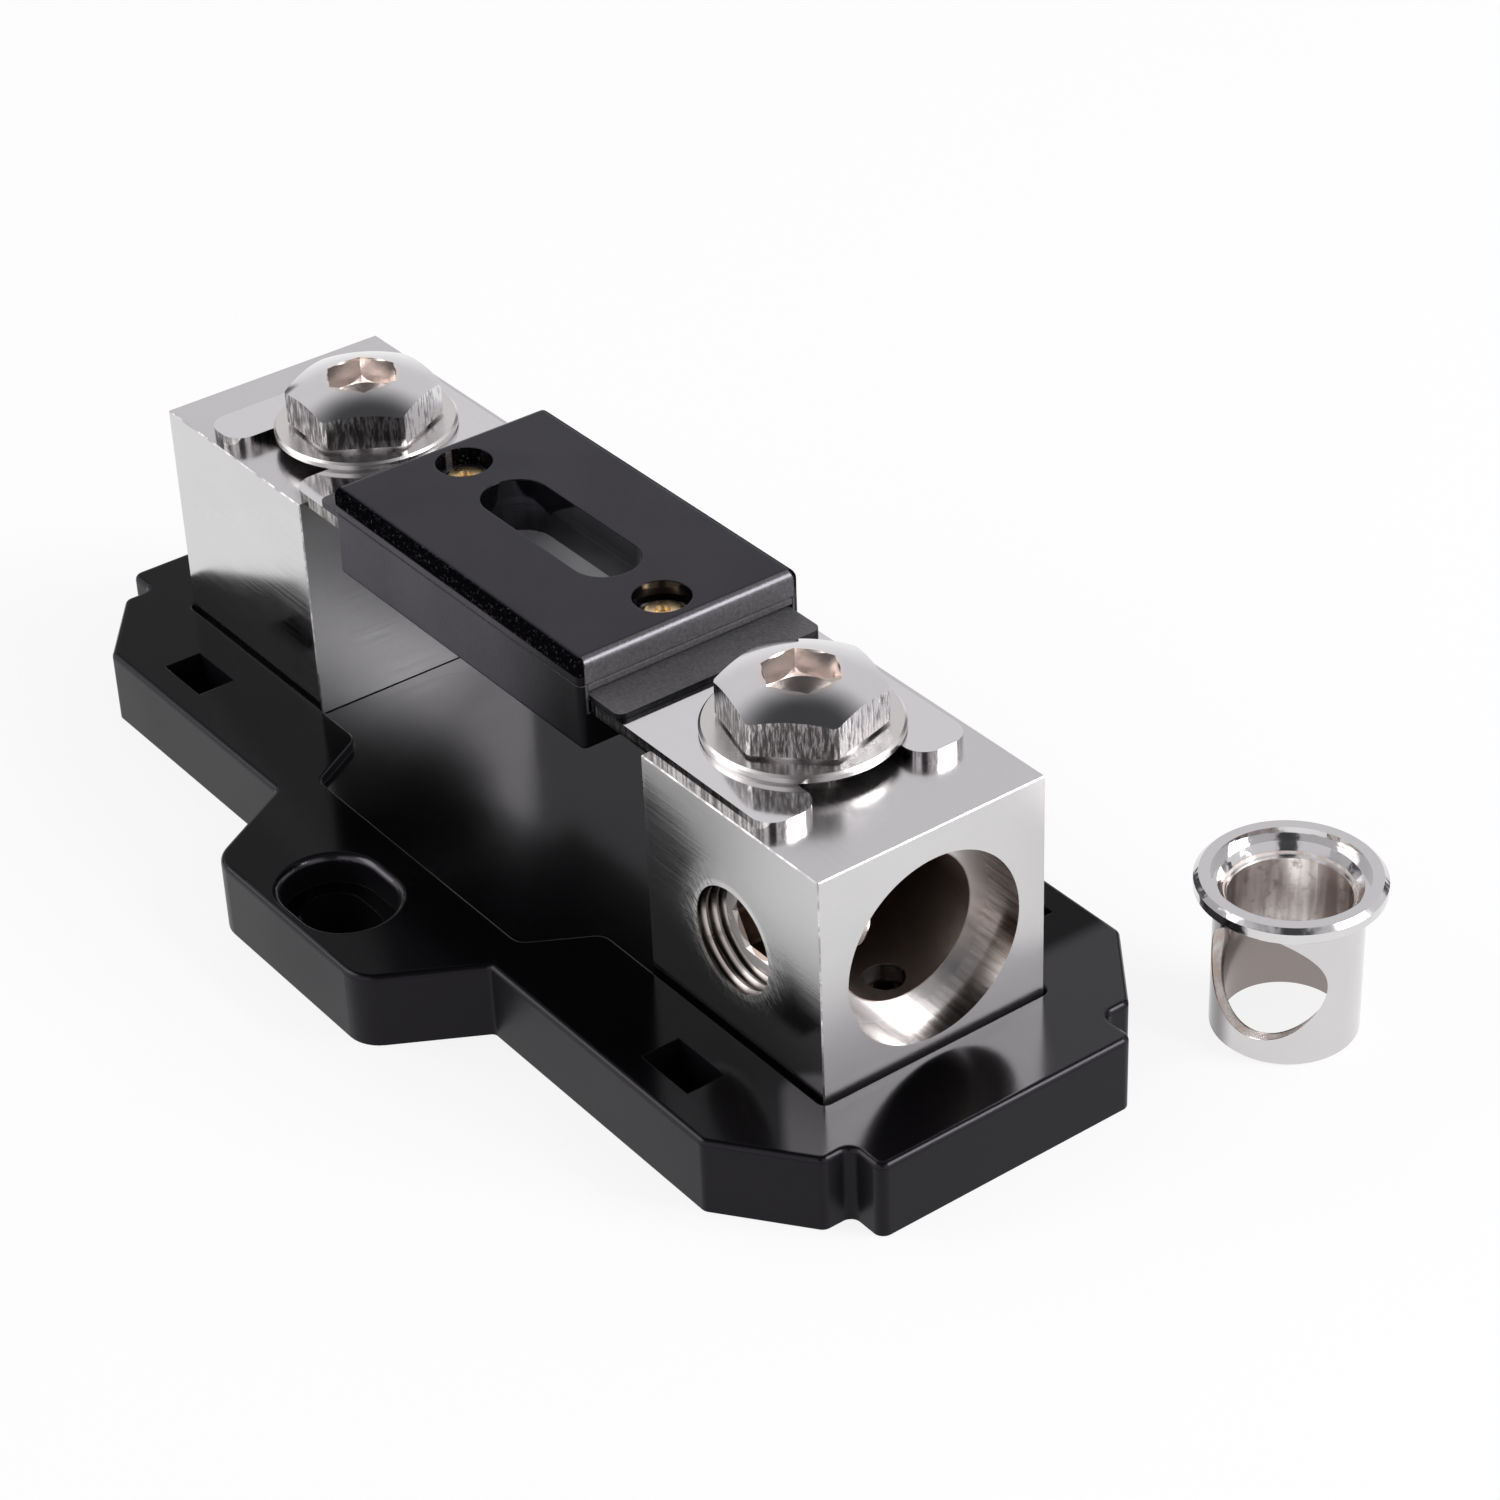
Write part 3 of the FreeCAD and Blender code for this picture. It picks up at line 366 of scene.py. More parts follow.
def fuse_plastic():
    """Black plastic of the fuse's body: a smooth lid, pale specks on a painted dark reflection
    along the lid's long edges, paler grain on its ends and on the aprons, painted shade on the
    ends below the aprons and on the aprons' fronts, painted shade at the near end of the long
    sides, and glossy black inside the window and the screw wells."""
    material, graph = new_material("fuse_plastic")
    place = graph.place()
    x, y, z = graph.split(place)
    face_x, face_y, face_z = graph.face()
    low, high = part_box("fuse_cover")
    lid_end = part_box("fuse_housing")[1].x
    off_x = graph.size(x)
    off_y = graph.size(graph.less(y, (low.y + high.y) / 2))
    grain = graph.noise(place, 3200.0, detail=3.0, roughness=0.7)
    cloud = graph.noise(place, 120.0, detail=3.0)

    lid_zone = graph.above(z, high.z - LID_EDGE)
    top = graph.both(graph.remap(face_z, 0.93, 0.998), lid_zone)
    inner = graph.both(
        graph.below(off_x, lid_end - INNER_WALL),
        graph.below(off_y, (high.y - low.y) / 2 - INNER_WALL),
        graph.below(z, high.z - WELL_LIP),
    )
    long_side = graph.remap(face_y, 0.03, 0.12)
    not_long = graph.outside(long_side)
    band = graph.remap(z, high.z - DARK_BAND, high.z - DARK_BAND + 0.25 * MM)
    under_band = graph.outside(band)
    # Painted dark reflection along the lid's long sides, in the band below the lid's top.
    edge = graph.both(band, graph.outside(top), long_side)
    lower = graph.both(under_band, long_side)
    # Painted shade at the near end of the long sides.
    near_end_painted_shade = graph.both(graph.remap(x, *NEAR_END_SHADE), under_band)
    end_edge = graph.both(
        graph.remap(face_z, 0.2, 0.4), graph.remap(face_z, 0.97, 0.85), lid_zone, not_long,
    )
    apron_front = graph.both(
        graph.above(off_x, high.x - 0.2 * MM), graph.remap(face_x, 0.5, 0.8),
    )
    # Painted shade on the ends below the aprons and on the aprons' front faces.
    apron_painted_shade = graph.most(graph.below(z, low.z + HAIR), apron_front)

    side = graph.paint(
        graph.blend(grain, (0.020, 0.0173, 0.0245), (0.050, 0.044, 0.057)),
        (near_end_painted_shade, (0.0035, 0.0032, 0.004)),
    )
    ends = graph.paint(
        graph.blend(grain, (0.035, 0.034, 0.035), (0.20, 0.194, 0.20)),
        (apron_painted_shade, (0.004, 0.004, 0.0045)),
    )
    # Pale specks of grain over the painted dark reflection.
    specks = graph.remap(grain, 0.56, 0.72)
    dark_reflection_and_specks = graph.blend(specks, (0.003, 0.003, 0.0036), (0.075, 0.072, 0.079))
    lid = graph.blend(cloud, (0.0072, 0.0064, 0.0098), (0.0100, 0.0090, 0.0132))
    colour = graph.paint(
        ends, (long_side, side), (edge, dark_reflection_and_specks), (top, lid), (inner, (0.003, 0.003, 0.0035)),
    )

    rough = graph.vary(cloud, 0.36, 0.44)
    roughness = graph.less(rough, graph.times(inner, 0.3), graph.times(end_edge, 0.2))
    shine = graph.less(
        0.36, graph.times(edge, 0.36), graph.times(lower, 0.04),
        graph.times(near_end_painted_shade, long_side, 0.22), graph.times(apron_painted_shade, not_long, 0.26),
    )
    shine = graph.plus(shine, graph.times(inner, 0.64), graph.times(end_edge, 0.5))
    calm = graph.most(top, inner, graph.times(end_edge, 0.8))
    strength = graph.less(1.0, graph.times(calm, 0.95), graph.times(lower, 0.6))
    bump = graph.bump(grain, 0.04 * MM, strength, graph.soft_edge(0.2 * MM))
    return finish_material(
        material, graph, Base_Color=colour, Roughness=roughness, Normal=bump,
        Specular_IOR_Level=shine, Specular_Tint=(0.93, 0.87, 1.0),
        Coat_Weight=graph.times(end_edge, 0.4), Coat_Roughness=0.2,
    )


def block_nickel():
    """Satin nickel plate over brushed metal: worn edges, scuffs round the side holes,
    brownish threads with painted shade in their grooves, brownish bores with painted shade that
    deepens away from their mouths, turned streaks in the seats of the cable bores with a painted
    highlight low on the seat walls and painted shade in the seats' inner corners, painted shade
    on the lower part of the bored sides, and painted light on the inner faces."""
    material, graph = new_material("block_nickel")
    place = graph.place()
    x, y, z = graph.split(place)
    off_x = graph.size(x)
    face_x, face_y, face_z = graph.face()
    bore = graph.ring(y, z, 0.0, BORE_HEIGHT)
    hole = graph.ring(off_x, z, BLOCK_PLACE, SIDE_HOLE_HEIGHT)
    slant = graph.plus(z, graph.times(graph.less(off_x, BLOCK_PLACE), SIDE_SLANT))
    lines = brushed(graph, 4200.0, 90.0)
    cloud = graph.noise(place, 90.0, detail=4.0)
    chips = graph.noise(place, 700.0, detail=4.0, roughness=0.7)
    stretched = graph.stretch(place, (160.0, 2300.0, 2300.0))
    streaks = graph.noise(stretched, 1.0, detail=4.0, roughness=0.65)
    along, across = graph.less(off_x, z), graph.plus(off_x, z)
    diagonal = graph.join(graph.times(along, 330.0), graph.times(across, 2900.0), 0.0)
    swirl = graph.noise(diagonal, 1.0, detail=5.0, roughness=0.7)

    past_wall = graph.above(off_x, BLOCK_INNER_FACE + 0.5 * MM)
    inner_face = graph.outside(past_wall)
    inside = graph.both(
        graph.remap(bore, BORE_RADIUS + 0.15 * MM, BORE_RADIUS + 0.05 * MM), past_wall,
    )
    in_seat = graph.both(
        graph.remap(bore, SEAT_RADIUS + 0.12 * MM, SEAT_RADIUS + 0.02 * MM),
        past_wall, graph.outside(inside),
    )
    seat_wall = graph.both(in_seat, graph.remap(face_x, 0.5, 0.2))
    # Painted shade in the inner corner of each seat.
    seat_corner_painted_shade = graph.both(
        in_seat, graph.remap(bore, SEAT_RADIUS - 0.4 * MM, SEAT_RADIUS - 0.1 * MM),
        graph.remap(off_x, SEAT_FLOOR + 0.5 * MM, SEAT_FLOOR + 0.1 * MM),
    )
    thread = graph.both(
        graph.below(hole, SIDE_HOLE_RADIUS + 0.5 * MM), graph.remap(face_y, 0.97, 0.9),
        graph.above(graph.size(y), BORE_RADIUS),
    )
    bored_side = graph.both(graph.remap(face_y, 0.9, 0.97), graph.below(graph.times(x, y), 0.0))
    scuffed = graph.both(
        graph.remap(hole, *SCUFFED_RING), bored_side, graph.remap(swirl, 0.25, 0.8),
    )
    # Painted shade on the lower part of the bored side.
    low_side_painted_shade = graph.both(bored_side, graph.remap(slant, *LOW_SIDE_PAINTED_SHADE))
    hole_edge = graph.both(
        bored_side, graph.remap(hole, SIDE_HOLE_RADIUS + 0.75 * MM, SIDE_HOLE_RADIUS + 0.35 * MM),
    )
    on_edge = graph.both(
        graph.remap(face_x, 0.93, 0.85), graph.remap(face_y, 0.93, 0.85),
        graph.remap(face_z, 0.93, 0.85), graph.outside(inside), graph.outside(thread),
        graph.above(bore, BORE_RADIUS + 3.0 * MM),
    )

    # Warmer bore, with painted shade that deepens away from the mouth.
    mouth = graph.remap(off_x, BORE_MOUTH - BORE_SHADE_DEPTH, BORE_MOUTH)
    deep = graph.blend(mouth, (0.16, 0.125, 0.11), (0.52, 0.44, 0.40))
    # Painted light on the inner faces, brightest towards one corner.
    corner = graph.remap(graph.plus(y, z), *PAINTED_LIGHT_CORNER)
    inner_face_painted_light = graph.blend(corner, (0.35, 0.345, 0.35), (1.0, 0.99, 1.0))
    streak = graph.vary(streaks, 0.0, 1.0)
    brown = graph.blend(streak, (0.36, 0.28, 0.245), (0.78, 0.70, 0.655))
    pale = graph.blend(streak, (0.62, 0.585, 0.57), (0.97, 0.94, 0.925))
    # Turned streaks on the seat walls, painted paler on their lower part as a painted highlight.
    turned = graph.blend(graph.remap(z, *SEAT_PAINTED_LIGHT_PART), brown, pale)
    # Painted shade in the thread's grooves, over brownish crests.
    groove_painted_shade = graph.remap(hole, SIDE_HOLE_RADIUS + 0.1 * MM, SIDE_HOLE_RADIUS + 0.4 * MM)
    turns = graph.blend(groove_painted_shade, (0.52, 0.47, 0.45), (0.10, 0.085, 0.08))
    worn = graph.blend(graph.remap(chips, 0.4, 0.65), (0.40, 0.39, 0.39), (0.92, 0.91, 0.91))
    colour = graph.paint(
        graph.blend(cloud, (0.655, 0.645, 0.65), (0.72, 0.71, 0.715)),
        (inside, deep),
        (graph.both(inner_face, graph.remap(face_x, 0.9, 0.97)), inner_face_painted_light),
        (seat_wall, turned),
        (graph.both(seat_corner_painted_shade, graph.remap(streaks, 0.25, 0.6)), (0.13, 0.105, 0.095)),
        (low_side_painted_shade, (0.38, 0.37, 0.375)),
        (hole_edge, (0.97, 0.955, 0.95)),
        (thread, turns),
        (on_edge, worn),
    )

    high_side = graph.remap(slant, *HIGH_SIDE, -0.04, 0.12)
    roughness = graph.plus(
        graph.vary(lines, 0.17, 0.24), graph.times(inside, 0.2),
        graph.times(scuffed, 0.34), graph.times(graph.remap(face_x, 0.8, 0.95), 0.12),
        graph.times(graph.remap(face_y, 0.8, 0.95), high_side), graph.times(on_edge, 0.2),
        graph.times(inner_face, 0.02),
    )
    strength = graph.less(graph.plus(graph.times(face_y, 0.15), 0.1), graph.times(face_x, 0.07))
    bump = graph.bump(lines, 0.004 * MM, strength)
    bump = graph.bump(streaks, 0.03 * MM, graph.times(seat_wall, 0.4), bump)
    return finish_metal(material, graph, colour, roughness, bump)


def washer_nickel():
    """Bright nickel plate with faint clouds."""
    material, graph = new_material("washer_nickel")
    cloud = graph.noise(graph.place(), 260.0, detail=3.0)
    colour = graph.blend(cloud, (0.72, 0.695, 0.685), (0.81, 0.785, 0.775))
    return finish_metal(material, graph, colour, graph.vary(cloud, 0.24, 0.29))


def bolt_nickel():
    """Bright nickel on forged heads: smooth dome, upright dark draw marks on the six
    sides, more of them on one side as painted shade, and a warmer, rougher socket."""
    material, graph = new_material("bolt_nickel")
    place = graph.place()
    x, y, z = graph.split(place)
    radius = graph.ring(graph.size(x), y, BOLT_PLACE, 0.0)
    cloud = graph.noise(place, 260.0, detail=3.0)
    stretched = graph.stretch(place, (3600.0, 3600.0, 700.0))
    marks = graph.noise(stretched, 1.0, detail=4.0, roughness=0.6)
    # Painted shade: the dark draw marks spread wider on the side that faces this way.
    painted_shade_side = graph.remap(graph.towards(BOLT_PAINTED_SHADE_SIDE), 0.2, 0.8)
    marks = graph.plus(marks, graph.times(painted_shade_side, 0.12))

    walls = graph.both(
        graph.remap(graph.face()[2], 0.5, 0.1), graph.above(radius, BOLT_HEAD_SIDES),
    )
    socket = graph.remap(radius, BOLT_SOCKET_CORNER, BOLT_SOCKET_CORNER - 0.15 * MM)
    colour = graph.paint(
        graph.blend(cloud, (0.70, 0.69, 0.70), (0.79, 0.78, 0.79)),
        (socket, (0.80, 0.74, 0.71)),
        (graph.both(graph.remap(marks, 0.46, 0.70), walls), (0.17, 0.152, 0.147)),
    )
    roughness = graph.plus(
        graph.vary(cloud, 0.09, 0.14), graph.times(walls, 0.1), graph.times(socket, 0.12),
    )
    bump = graph.bump(marks, 0.05 * MM, graph.times(walls, 0.45))
    return finish_metal(material, graph, colour, roughness, bump)


def sleeve_nickel():
    """Bright nickel outside, with painted shade along one side, over a scuffed, warmer bore with
    upright streaks and painted shade in its lower part; a burr round the cross hole and a
    slightly dented flange."""
    material, graph = new_material("sleeve_nickel")
    place = graph.place()
    x, y, z = graph.split(place)
    low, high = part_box("reducer_sleeve")
    middle = (low + high) / 2
    radius = graph.ring(x, y, middle.x, middle.y)
    scuffs = graph.noise(place, 1100.0, detail=5.0, roughness=0.7)
    cloud = graph.noise(place, 260.0, detail=3.0)
    stretched = graph.stretch(place, (420.0, 420.0, 50.0))
    columns = graph.noise(stretched, 1.0, detail=3.0, roughness=0.6)

    inside = graph.remap(radius, SLEEVE_BORE_RADIUS + 0.12 * MM, SLEEVE_BORE_RADIUS + 0.04 * MM)
    flange = graph.remap(z, FLANGE_UNDERSIDE - 0.3 * MM, FLANGE_UNDERSIDE)
    # Painted shade in the lower part of the bore.
    upper = graph.remap(z, *BORE_UPPER_PART)
    rim = graph.both(
        graph.remap(radius, SLEEVE_BORE_RADIUS + 0.12 * MM, SLEEVE_BORE_RADIUS + 0.25 * MM),
        graph.remap(radius, BARREL_RADIUS - 0.05 * MM, BARREL_RADIUS - 0.15 * MM),
        graph.below(z, FLANGE_UNDERSIDE - 0.2 * MM),
    )
    # Painted shade along one side of the wall.
    aside = graph.plus(
        graph.times(graph.less(x, middle.x), SLEEVE_PAINTED_SHADE_SIDE[0]),
        graph.times(graph.less(y, middle.y), SLEEVE_PAINTED_SHADE_SIDE[1]),
    )
    painted_shade_side = graph.remap(aside, 0.76 * BARREL_RADIUS, 0.94 * BARREL_RADIUS)

    bright = graph.paint(
        graph.blend(graph.remap(columns, 0.36, 0.62), (0.46, 0.39, 0.37), (1.0, 0.96, 0.93)),
        (graph.remap(scuffs, 0.5, 0.75), (0.42, 0.36, 0.34)),
    )
    colour = graph.paint(
        graph.blend(cloud, (0.63, 0.615, 0.62), (0.69, 0.675, 0.68)),
        (painted_shade_side, (0.24, 0.23, 0.235)),
        (flange, (0.71, 0.70, 0.705)),
        (inside, graph.blend(upper, (0.31, 0.27, 0.26), bright)),
        (rim, graph.blend(graph.remap(scuffs, 0.35, 0.6), (1.0, 0.98, 0.96), (0.80, 0.68, 0.61))),
    )
    roughness = graph.plus(
        graph.vary(cloud, 0.1, 0.15), graph.times(inside, 0.12), graph.times(rim, 0.3),
    )
    uneven = graph.most(graph.times(inside, 0.4), graph.times(rim, 0.5))
    dents = graph.noise(place, 560.0, detail=2.0)
    bump = graph.bump(scuffs, 0.02 * MM, graph.plus(uneven, 0.02))
    bump = graph.bump(dents, 0.12 * MM, graph.times(flange, 0.7), bump)
    metal = graph.outside(graph.times(rim, 0.75))
    return finish_metal(material, graph, colour, roughness, bump, metal)


def strip_plate():
    """Mirror-bright plate of the fuse strip, with faint rolling lines and sheared edges."""
    material, graph = new_material("strip_plate")
    lines = brushed(graph, 2200.0, 30.0)
    stretched = graph.stretch(graph.place(), (2600.0, 2600.0, 500.0))
    shear = graph.noise(stretched, 1.0, detail=4.0, roughness=0.65)
    face_y, face_z = graph.face()[1:]
    long_edge = graph.remap(face_y, 0.8, 0.95)
    ridges = graph.blend(long_edge, (0.80, 0.79, 0.79), (0.40, 0.385, 0.38))
    grooves = graph.blend(long_edge, (0.36, 0.34, 0.335), (0.07, 0.064, 0.062))
    colour = graph.paint(
        graph.blend(lines, (0.76, 0.75, 0.755), (0.82, 0.81, 0.815)),
        (graph.remap(face_z, 0.5, 0.1),
         graph.blend(graph.remap(shear, 0.34, 0.66), ridges, grooves)),
    )
    roughness = graph.vary(lines, 0.07, 0.12)
    return finish_metal(material, graph, colour, roughness, graph.bump(lines, 0.004 * MM, 0.2))


def screw_steel():
    """Plated steel of the base screws, dark where their points come up in the bores."""
    material, graph = new_material("screw_steel")
    place = graph.place()
    z = graph.split(place)[2]
    cloud = graph.noise(place, 420.0, detail=4.0)
    point = graph.both(graph.remap(z, *POINT_START), graph.below(z, POINT_END))
    colour = graph.paint(
        graph.blend(cloud, (0.60, 0.565, 0.54), (0.74, 0.72, 0.70)),
        (point, (0.05, 0.042, 0.038)),
    )
    roughness = graph.vary(cloud, 0.16, 0.26)
    return finish_metal(material, graph, colour, roughness, graph.bump(cloud, 0.03 * MM, 0.3))


def socket_screw_steel():
    """Plated steel of the set screws: a pale turned end face round a dark brown socket."""
    material, graph = new_material("socket_screw_steel")
    place = graph.place()
    x, y, z = graph.split(place)
    cloud = graph.noise(place, 420.0, detail=4.0)
    radius = graph.ring(graph.size(x), z, BLOCK_PLACE, SIDE_HOLE_HEIGHT)
    socket = graph.remap(radius, SET_SOCKET_INRADIUS + 0.35 * MM, SET_SOCKET_INRADIUS + 0.25 * MM)
    end_face = graph.both(graph.remap(graph.face()[1], 0.5, 0.8), graph.outside(socket))
    colour = graph.paint(
        graph.blend(cloud, (0.60, 0.565, 0.54), (0.74, 0.72, 0.70)),
        (end_face, (0.92, 0.90, 0.88)),
        (socket, (0.30, 0.235, 0.20)),
    )
    roughness = graph.vary(cloud, 0.16, 0.28)
    bump = graph.bump(cloud, 0.05 * MM, 0.6)
    metal = graph.outside(graph.times(end_face, 0.6))
    return finish_metal(material, graph, colour, roughness, bump, metal)


def brass():
    """Turned brass, slightly uneven."""
    material, graph = new_material("brass")
    cloud = graph.noise(graph.place(), 600.0, detail=4.0)
    colour = graph.blend(cloud, (0.90, 0.64, 0.33), (1.0, 0.80, 0.48))
    roughness = graph.vary(cloud, 0.24, 0.34)
    return finish_metal(material, graph, colour, roughness, graph.bump(cloud, 0.015 * MM, 0.25))


def lens():
    """Milky clear plastic of the window."""
    material, graph = new_material("lens")
    haze = graph.noise(graph.place(), 300.0, detail=2.0)
    return finish_material(
        material, graph, Base_Color=graph.blend(haze, (0.78, 0.785, 0.81), (0.94, 0.945, 0.97)),
        Roughness=graph.vary(haze, 0.16, 0.28), Transmission_Weight=0.2, IOR=1.52,
    )


def seen_rays(graph, *kinds):
    """One on rays of the kinds named, such as those that reach the camera directly."""
    path = graph.tree.nodes.new("ShaderNodeLightPath").outputs
    seen = path[kinds[0]]
    for kind in kinds[1:]:
        seen = graph.math("ADD", seen, path[kind], clamp=True)
    return seen


def floor_material():
    """Pale paper sweep, nearly white where it is seen directly or in a reflection, and without its
    glow under the holder as a painted shadow, which only the holder's slots show."""
    material, graph = new_material("floor_paper")
    place = graph.place()
    x, y, z = graph.split(place)
    off_x, off_y = graph.size(x), graph.size(y)
    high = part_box("base")[1]
    # Painted shadow: under the holder the floor has no glow, only the dim shaded paper.
    under = graph.most(
        graph.both(graph.below(off_x, high.x * 0.8), graph.below(off_y, BASE_SIDE * 0.95)),
        graph.both(graph.below(off_x, EAR_HALF_LENGTH), graph.below(off_y, high.y * 0.95)),
    )
    grain = graph.noise(place, 400.0, detail=3.0)
    paper = graph.blend(grain, (0.80, 0.80, 0.80), (0.84, 0.84, 0.84))
    plain = graph.add("ShaderNodeBsdfDiffuse", {"Color": paper})
    shaded = graph.add("ShaderNodeBsdfDiffuse", {"Color": (0.16, 0.16, 0.16)})
    level = graph.remap(graph.ring(x, y, 0.0, 0.0), 0.3, 2.0, 0.86, 0.92)
    strength = graph.times(graph.outside(under), level)
    glow = graph.add("ShaderNodeEmission", {"Color": (1.0, 1.0, 1.0), "Strength": strength})
    white = graph.add("ShaderNodeAddShader", {0: shaded, 1: glow})
    seen = seen_rays(graph, "Is Camera Ray", "Is Glossy Ray", "Is Transmission Ray")
    mixed = graph.add("ShaderNodeMixShader", {0: seen, 1: plain, 2: white})
    graph.add("ShaderNodeOutputMaterial", {"Surface": mixed})
    return material


MATERIALS = {
    "base_plastic": base_plastic(),
    "fuse_plastic": fuse_plastic(),
    "block_nickel": block_nickel(),
    "bright_nickel": washer_nickel(),
    "strip_plate": strip_plate(),
    "screw_steel": screw_steel(),
    "brass": brass(),
    "lens": lens(),
}


def shade(mesh):
    """Round faces shade smoothly, and steeper edges stay sharp."""
    mesh.shade_smooth()
    mesh.set_sharp_from_angle(angle=math.radians(32))


def dress_nodes():
    """Gives each node the material of its slot, and the sleeve its own."""
    for part in frame["record"]["subparts"]:
        mesh = nodes[part["node"]].data
        mesh.materials.clear()
        mesh.materials.append(MATERIALS[part["material_slot"]])
        mesh.polygons.foreach_set("material_index", [0] * len(mesh.polygons))
        shade(mesh)
    nodes["reducer_sleeve"].data.materials[0] = sleeve_nickel()


def round_reach(radius):
    """A ring's distance from its middle, the same at every turn."""
    return lambda turn: radius


def hexagon_reach(inradius, spare=0.0):
    """A hexagonal ring's distance from its middle at each turn, with spare added."""
    sixth = math.pi / 3
    return lambda turn: inradius / math.cos(turn % sixth - sixth / 2) + spare


def add_rings(mesh, rings, put):
    """Skins rings of points given as (height, radius at each turn) and closes both ends."""
    turns = [2 * math.pi * step / COLUMNS for step in range(COLUMNS)]
    rows = []
    for height, reach in rings:
        rows.append([
            mesh.verts.new(put(reach(turn) * math.cos(turn), reach(turn) * math.sin(turn), height))
            for turn in turns
        ])
    for lower, upper in zip(rows, rows[1:]):
        for step in range(COLUMNS):
            after = (step + 1) % COLUMNS
            mesh.faces.new((lower[step], lower[after], upper[after], upper[step]))
    mesh.faces.new(rows[0])
    mesh.faces.new(rows[-1])


def thread_rings(start, end, crest, depth, pitch):
    """Rings of a right-handed V thread with flattened crests and tapered ends."""
    count = math.ceil((end - start) / pitch * STEPS_A_PITCH)

    def reach_at(height):
        taper = min(height - start, end - height) + crest - depth

        def reach(turn):
            phase = (height / pitch - turn / (2 * math.pi)) % 1.0
            ridge = min(abs(phase - 0.5) * THREAD_FLANK, 1.0)
            return min(crest - depth * ridge, taper)
        return reach

    heights = [start + (end - start) * step / count for step in range(count + 1)]
    return [(height, reach_at(height)) for height in heights]


def finish_piece(mesh, name, body, node, material):
    """Turns a mesh into a piece that rides on a body and stands for a node."""
    data = bpy.data.meshes.new(name)
    bmesh.ops.recalc_face_normals(mesh, faces=mesh.faces)
    mesh.to_mesh(data)
    mesh.free()
    data.materials.append(material)
    shade(data)
    piece = bpy.data.objects.new(name, data)
    scene.collection.objects.link(piece)
    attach(piece, body)
    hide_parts(node)


def add_set_screw(end, material):
    """Threaded grub screw in place of the plain one; its socket faces outwards."""
    node = f"{end}_set_screw"
    low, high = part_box(node)
    middle = (low + high) / 2
    outward = -1 if middle.y < 0 else 1
    mouth = low.y if outward < 0 else high.y
    crest = (high.x - low.x) / 2
    drill_depth, drill_tip = 0.8 * MM, 0.3 * MM
    fillet, bevel, thread_start = 0.1 * MM, 0.3 * MM, 0.05 * MM
    face_edge = crest - 0.75 * MM

    def put(across, up, depth):
        return Vector((middle.x - across * outward, mouth - depth * outward, middle.z + up))

    rings = [
        (SET_SOCKET_DEPTH + drill_depth, round_reach(drill_tip)),
        (SET_SOCKET_DEPTH, hexagon_reach(SET_SOCKET_INRADIUS - fillet)),
        (SET_SOCKET_DEPTH, hexagon_reach(SET_SOCKET_INRADIUS)),
        (bevel, hexagon_reach(SET_SOCKET_INRADIUS)),
        (0.0, hexagon_reach(SET_SOCKET_INRADIUS, bevel)),
        (0.0, round_reach(face_edge)),
    ]
    rings += thread_rings(thread_start, high.y - low.y, crest, SET_THREAD_DEPTH, SET_PITCH)
    mesh = bmesh.new()
    add_rings(mesh, rings, put)
    finish_piece(mesh, f"{node}_threaded", f"{end}_side_screw", node, material)


def add_clamp_bolt(end, material):
    """The bolt's own head, with a threaded shank in place of the plain one."""
    node = f"{end}_clamp_bolt"
    washer_low, washer_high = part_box(f"{end}_clamp_washer")
    middle = (washer_low + washer_high) / 2
    seat = washer_high.z
    mesh = bmesh.new()
    mesh.from_mesh(nodes[node].data)
    shank = [vert for vert in mesh.verts if vert.co.z < seat - HAIR]
    bmesh.ops.delete(mesh, geom=shank, context="VERTS")

    def put(across, up, height):
        return Vector((middle.x + across, middle.y + up, height))

    neck = seat - BOLT_NECK
    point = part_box(node)[0].z
    rings = thread_rings(point, neck, BOLT_CREST, BOLT_THREAD_DEPTH, BOLT_PITCH)
    rings += [(neck, round_reach(BOLT_CREST)), (seat + HEAD_OVERLAP, round_reach(BOLT_CREST))]
    add_rings(mesh, rings, put)
    finish_piece(mesh, f"{node}_threaded", f"{end}_bolt", node, material)


def add_floor():
    """Flat square sweep, a hair below the base."""
    reach = 3.0
    corners = [(-reach, -reach, 0), (reach, -reach, 0), (reach, reach, 0), (-reach, reach, 0)]
    mesh = bpy.data.meshes.new("floor")
    mesh.from_pydata(corners, [], [(0, 1, 2, 3)])
    mesh.materials.append(floor_material())
    floor = bpy.data.objects.new("floor", mesh)
    floor.location.z = -FLOOR_GAP
    scene.collection.objects.link(floor)


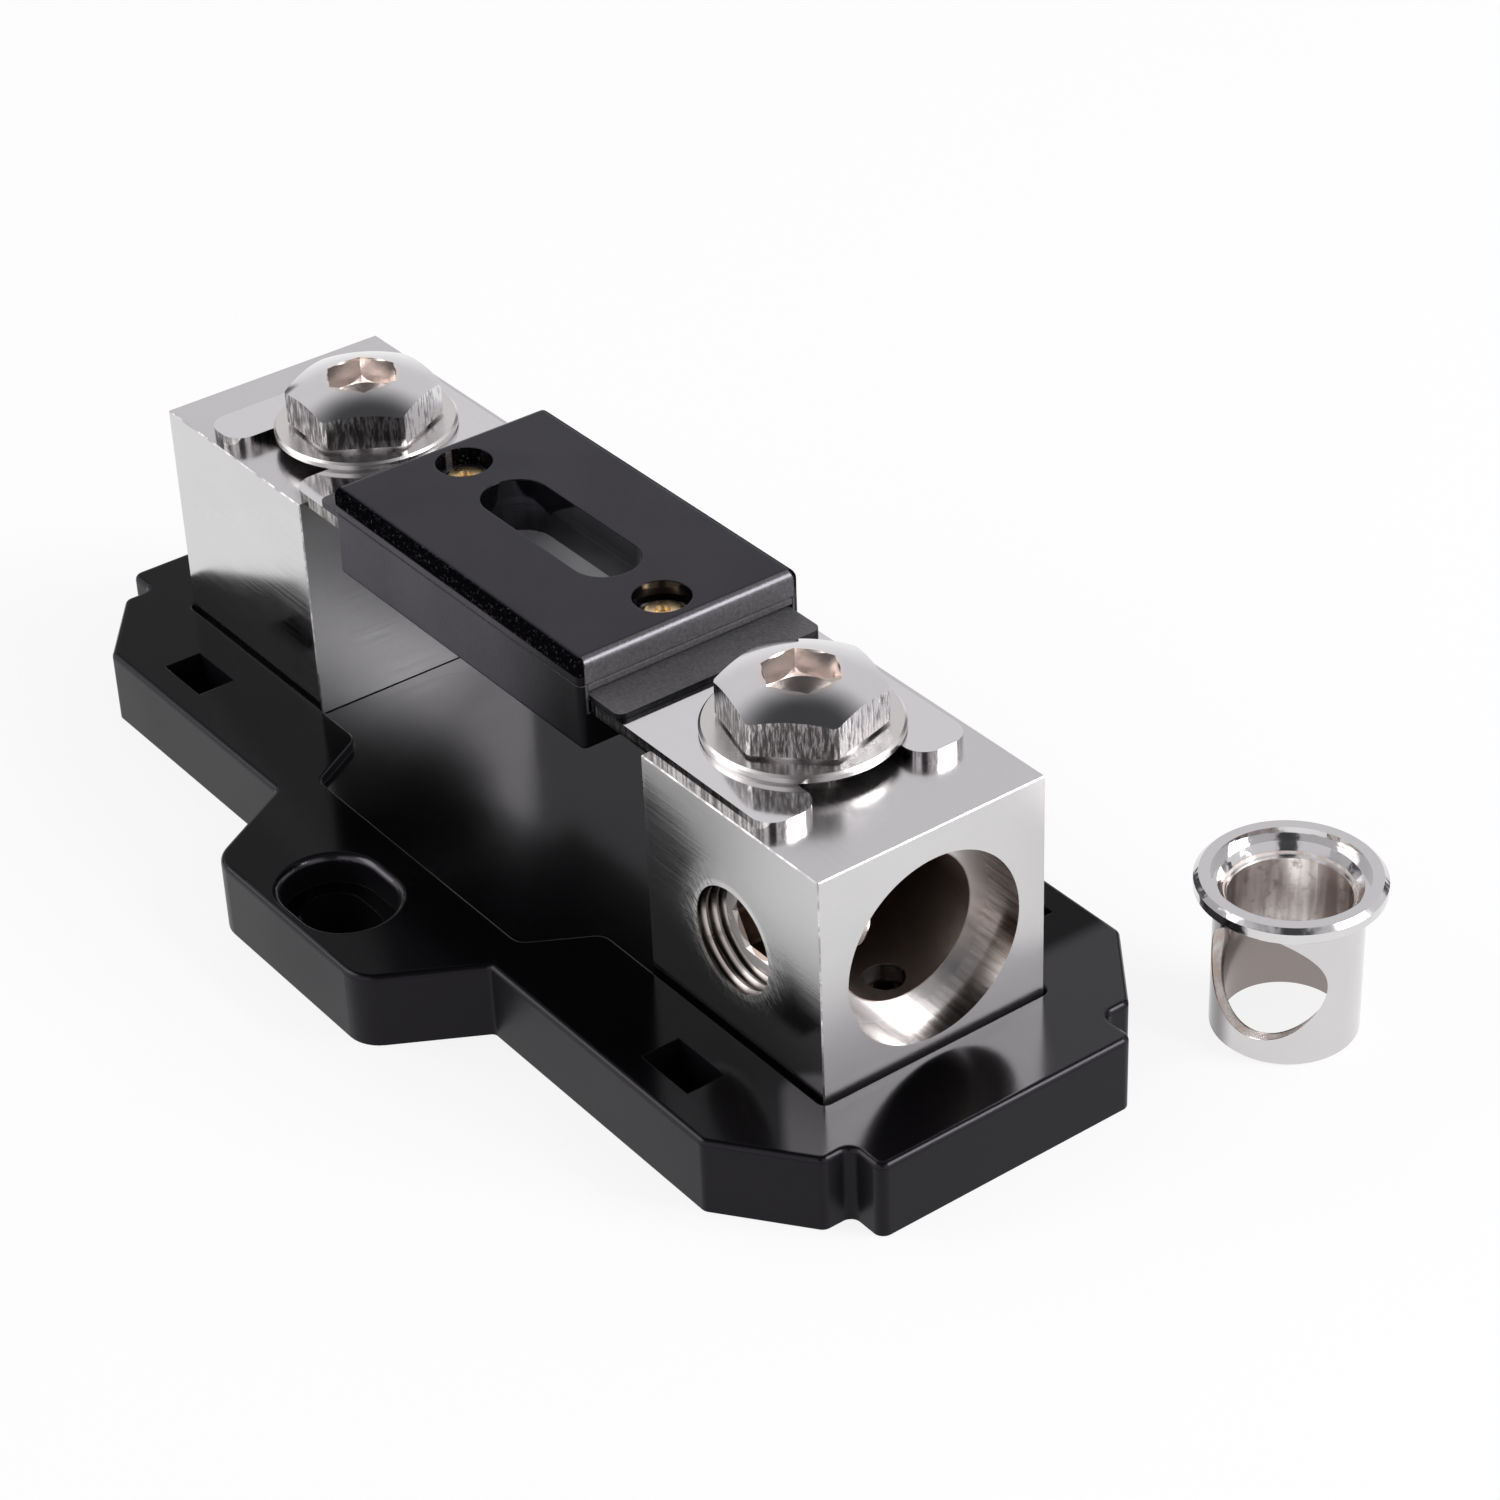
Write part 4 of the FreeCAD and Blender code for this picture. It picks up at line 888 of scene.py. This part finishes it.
def add_world():
    """Pale flats up to half height all round, with a dark line at the near horizon, a
    dark gap at the photographer's place, low dark flags at both sides of the back and a
    dark ceiling; seen directly it is white."""
    world = bpy.data.worlds.new("studio")
    world.use_nodes = True
    graph = Graph(world.node_tree)
    x, y, up = graph.split(graph.add("ShaderNodeTexCoord", output="Generated"))
    # How far a direction points to either side of the photographer, and how far towards them.
    aside = graph.size(graph.plus(graph.times(x, 0.60), graph.times(y, 0.80)))
    ahead = graph.less(graph.times(x, 0.80), graph.times(y, 0.60))
    ceiling = graph.remap(up, 0.66, 0.93)
    gap = graph.both(graph.remap(aside, 0.26, 0.19), graph.above(ahead, 0.0))
    horizon = graph.both(graph.remap(up, 0.1, 0.05), graph.remap(ahead, -0.6, -0.3))
    flags = graph.both(
        graph.remap(up, 0.31, 0.25), graph.remap(ahead, -0.45, -0.6),
        graph.remap(aside, 0.4, 0.46),
    )
    colour = graph.paint(
        graph.blend(graph.remap(up, 0.0, 0.4), (0.92, 0.915, 0.92), (0.74, 0.73, 0.745)),
        (graph.most(ceiling, gap, horizon, flags), (0.06, 0.06, 0.065)),
        (seen_rays(graph, "Is Camera Ray"), (0.974, 0.974, 0.974)),
    )
    glow = graph.add("ShaderNodeBackground", {"Color": colour, "Strength": 1.0})
    graph.add("ShaderNodeOutputWorld", {"Surface": glow})
    scene.world = world


def add_softbox(name, direction, distance, width, height, radiance):
    """Rectangular lamp that faces the holder; radiance 1 looks white in a mirror."""
    light = bpy.data.lights.new(name, "AREA")
    light.shape = "RECTANGLE"
    light.size = width
    light.size_y = height
    light.energy = radiance * math.pi * width * height
    lamp = bpy.data.objects.new(name, light)
    lamp.location = Vector(direction).normalized() * distance
    lamp.rotation_mode = "QUATERNION"
    lamp.rotation_quaternion = lamp.location.to_track_quat("Z", "Y")
    scene.collection.objects.link(lamp)


def add_lights():
    add_softbox(
        "left_softbox", direction=(-0.75, -0.9, 0.9), distance=0.9,
        width=0.5, height=0.6, radiance=1.6,
    )
    add_softbox(
        "right_softbox", direction=(0.9, 0.72, 0.82), distance=0.9,
        width=0.4, height=0.42, radiance=7.5,
    )


def add_camera():
    """Camera solved from the photograph's straight edges."""
    place = Vector((234.08, -151.53, 195.61)) * MM
    forward = Vector((-0.67418, 0.48678, -0.55546))
    right = Vector((0.60345, 0.79667, -0.03426))
    focal_pixels, photo_pixels = 3930.06, 1500
    camera = bpy.data.cameras.new("camera")
    camera.sensor_width = 36.0
    camera.lens = focal_pixels * camera.sensor_width / photo_pixels
    camera.clip_start = 0.01
    camera.clip_end = 20.0
    turn = Matrix((right, right.cross(forward), -forward)).transposed()
    holder = bpy.data.objects.new("camera", camera)
    holder.matrix_world = Matrix.Translation(place) @ turn.to_4x4()
    scene.collection.objects.link(holder)
    scene.camera = holder


dress_nodes()
bolt_material, set_screw_material = bolt_nickel(), socket_screw_steel()
for end in ("near", "far"):
    add_set_screw(end, set_screw_material)
    add_clamp_bolt(end, bolt_material)
add_floor()
add_world()
add_lights()
add_camera()
scene.view_settings.view_transform = "Standard"

bpy.context.view_layer.update()
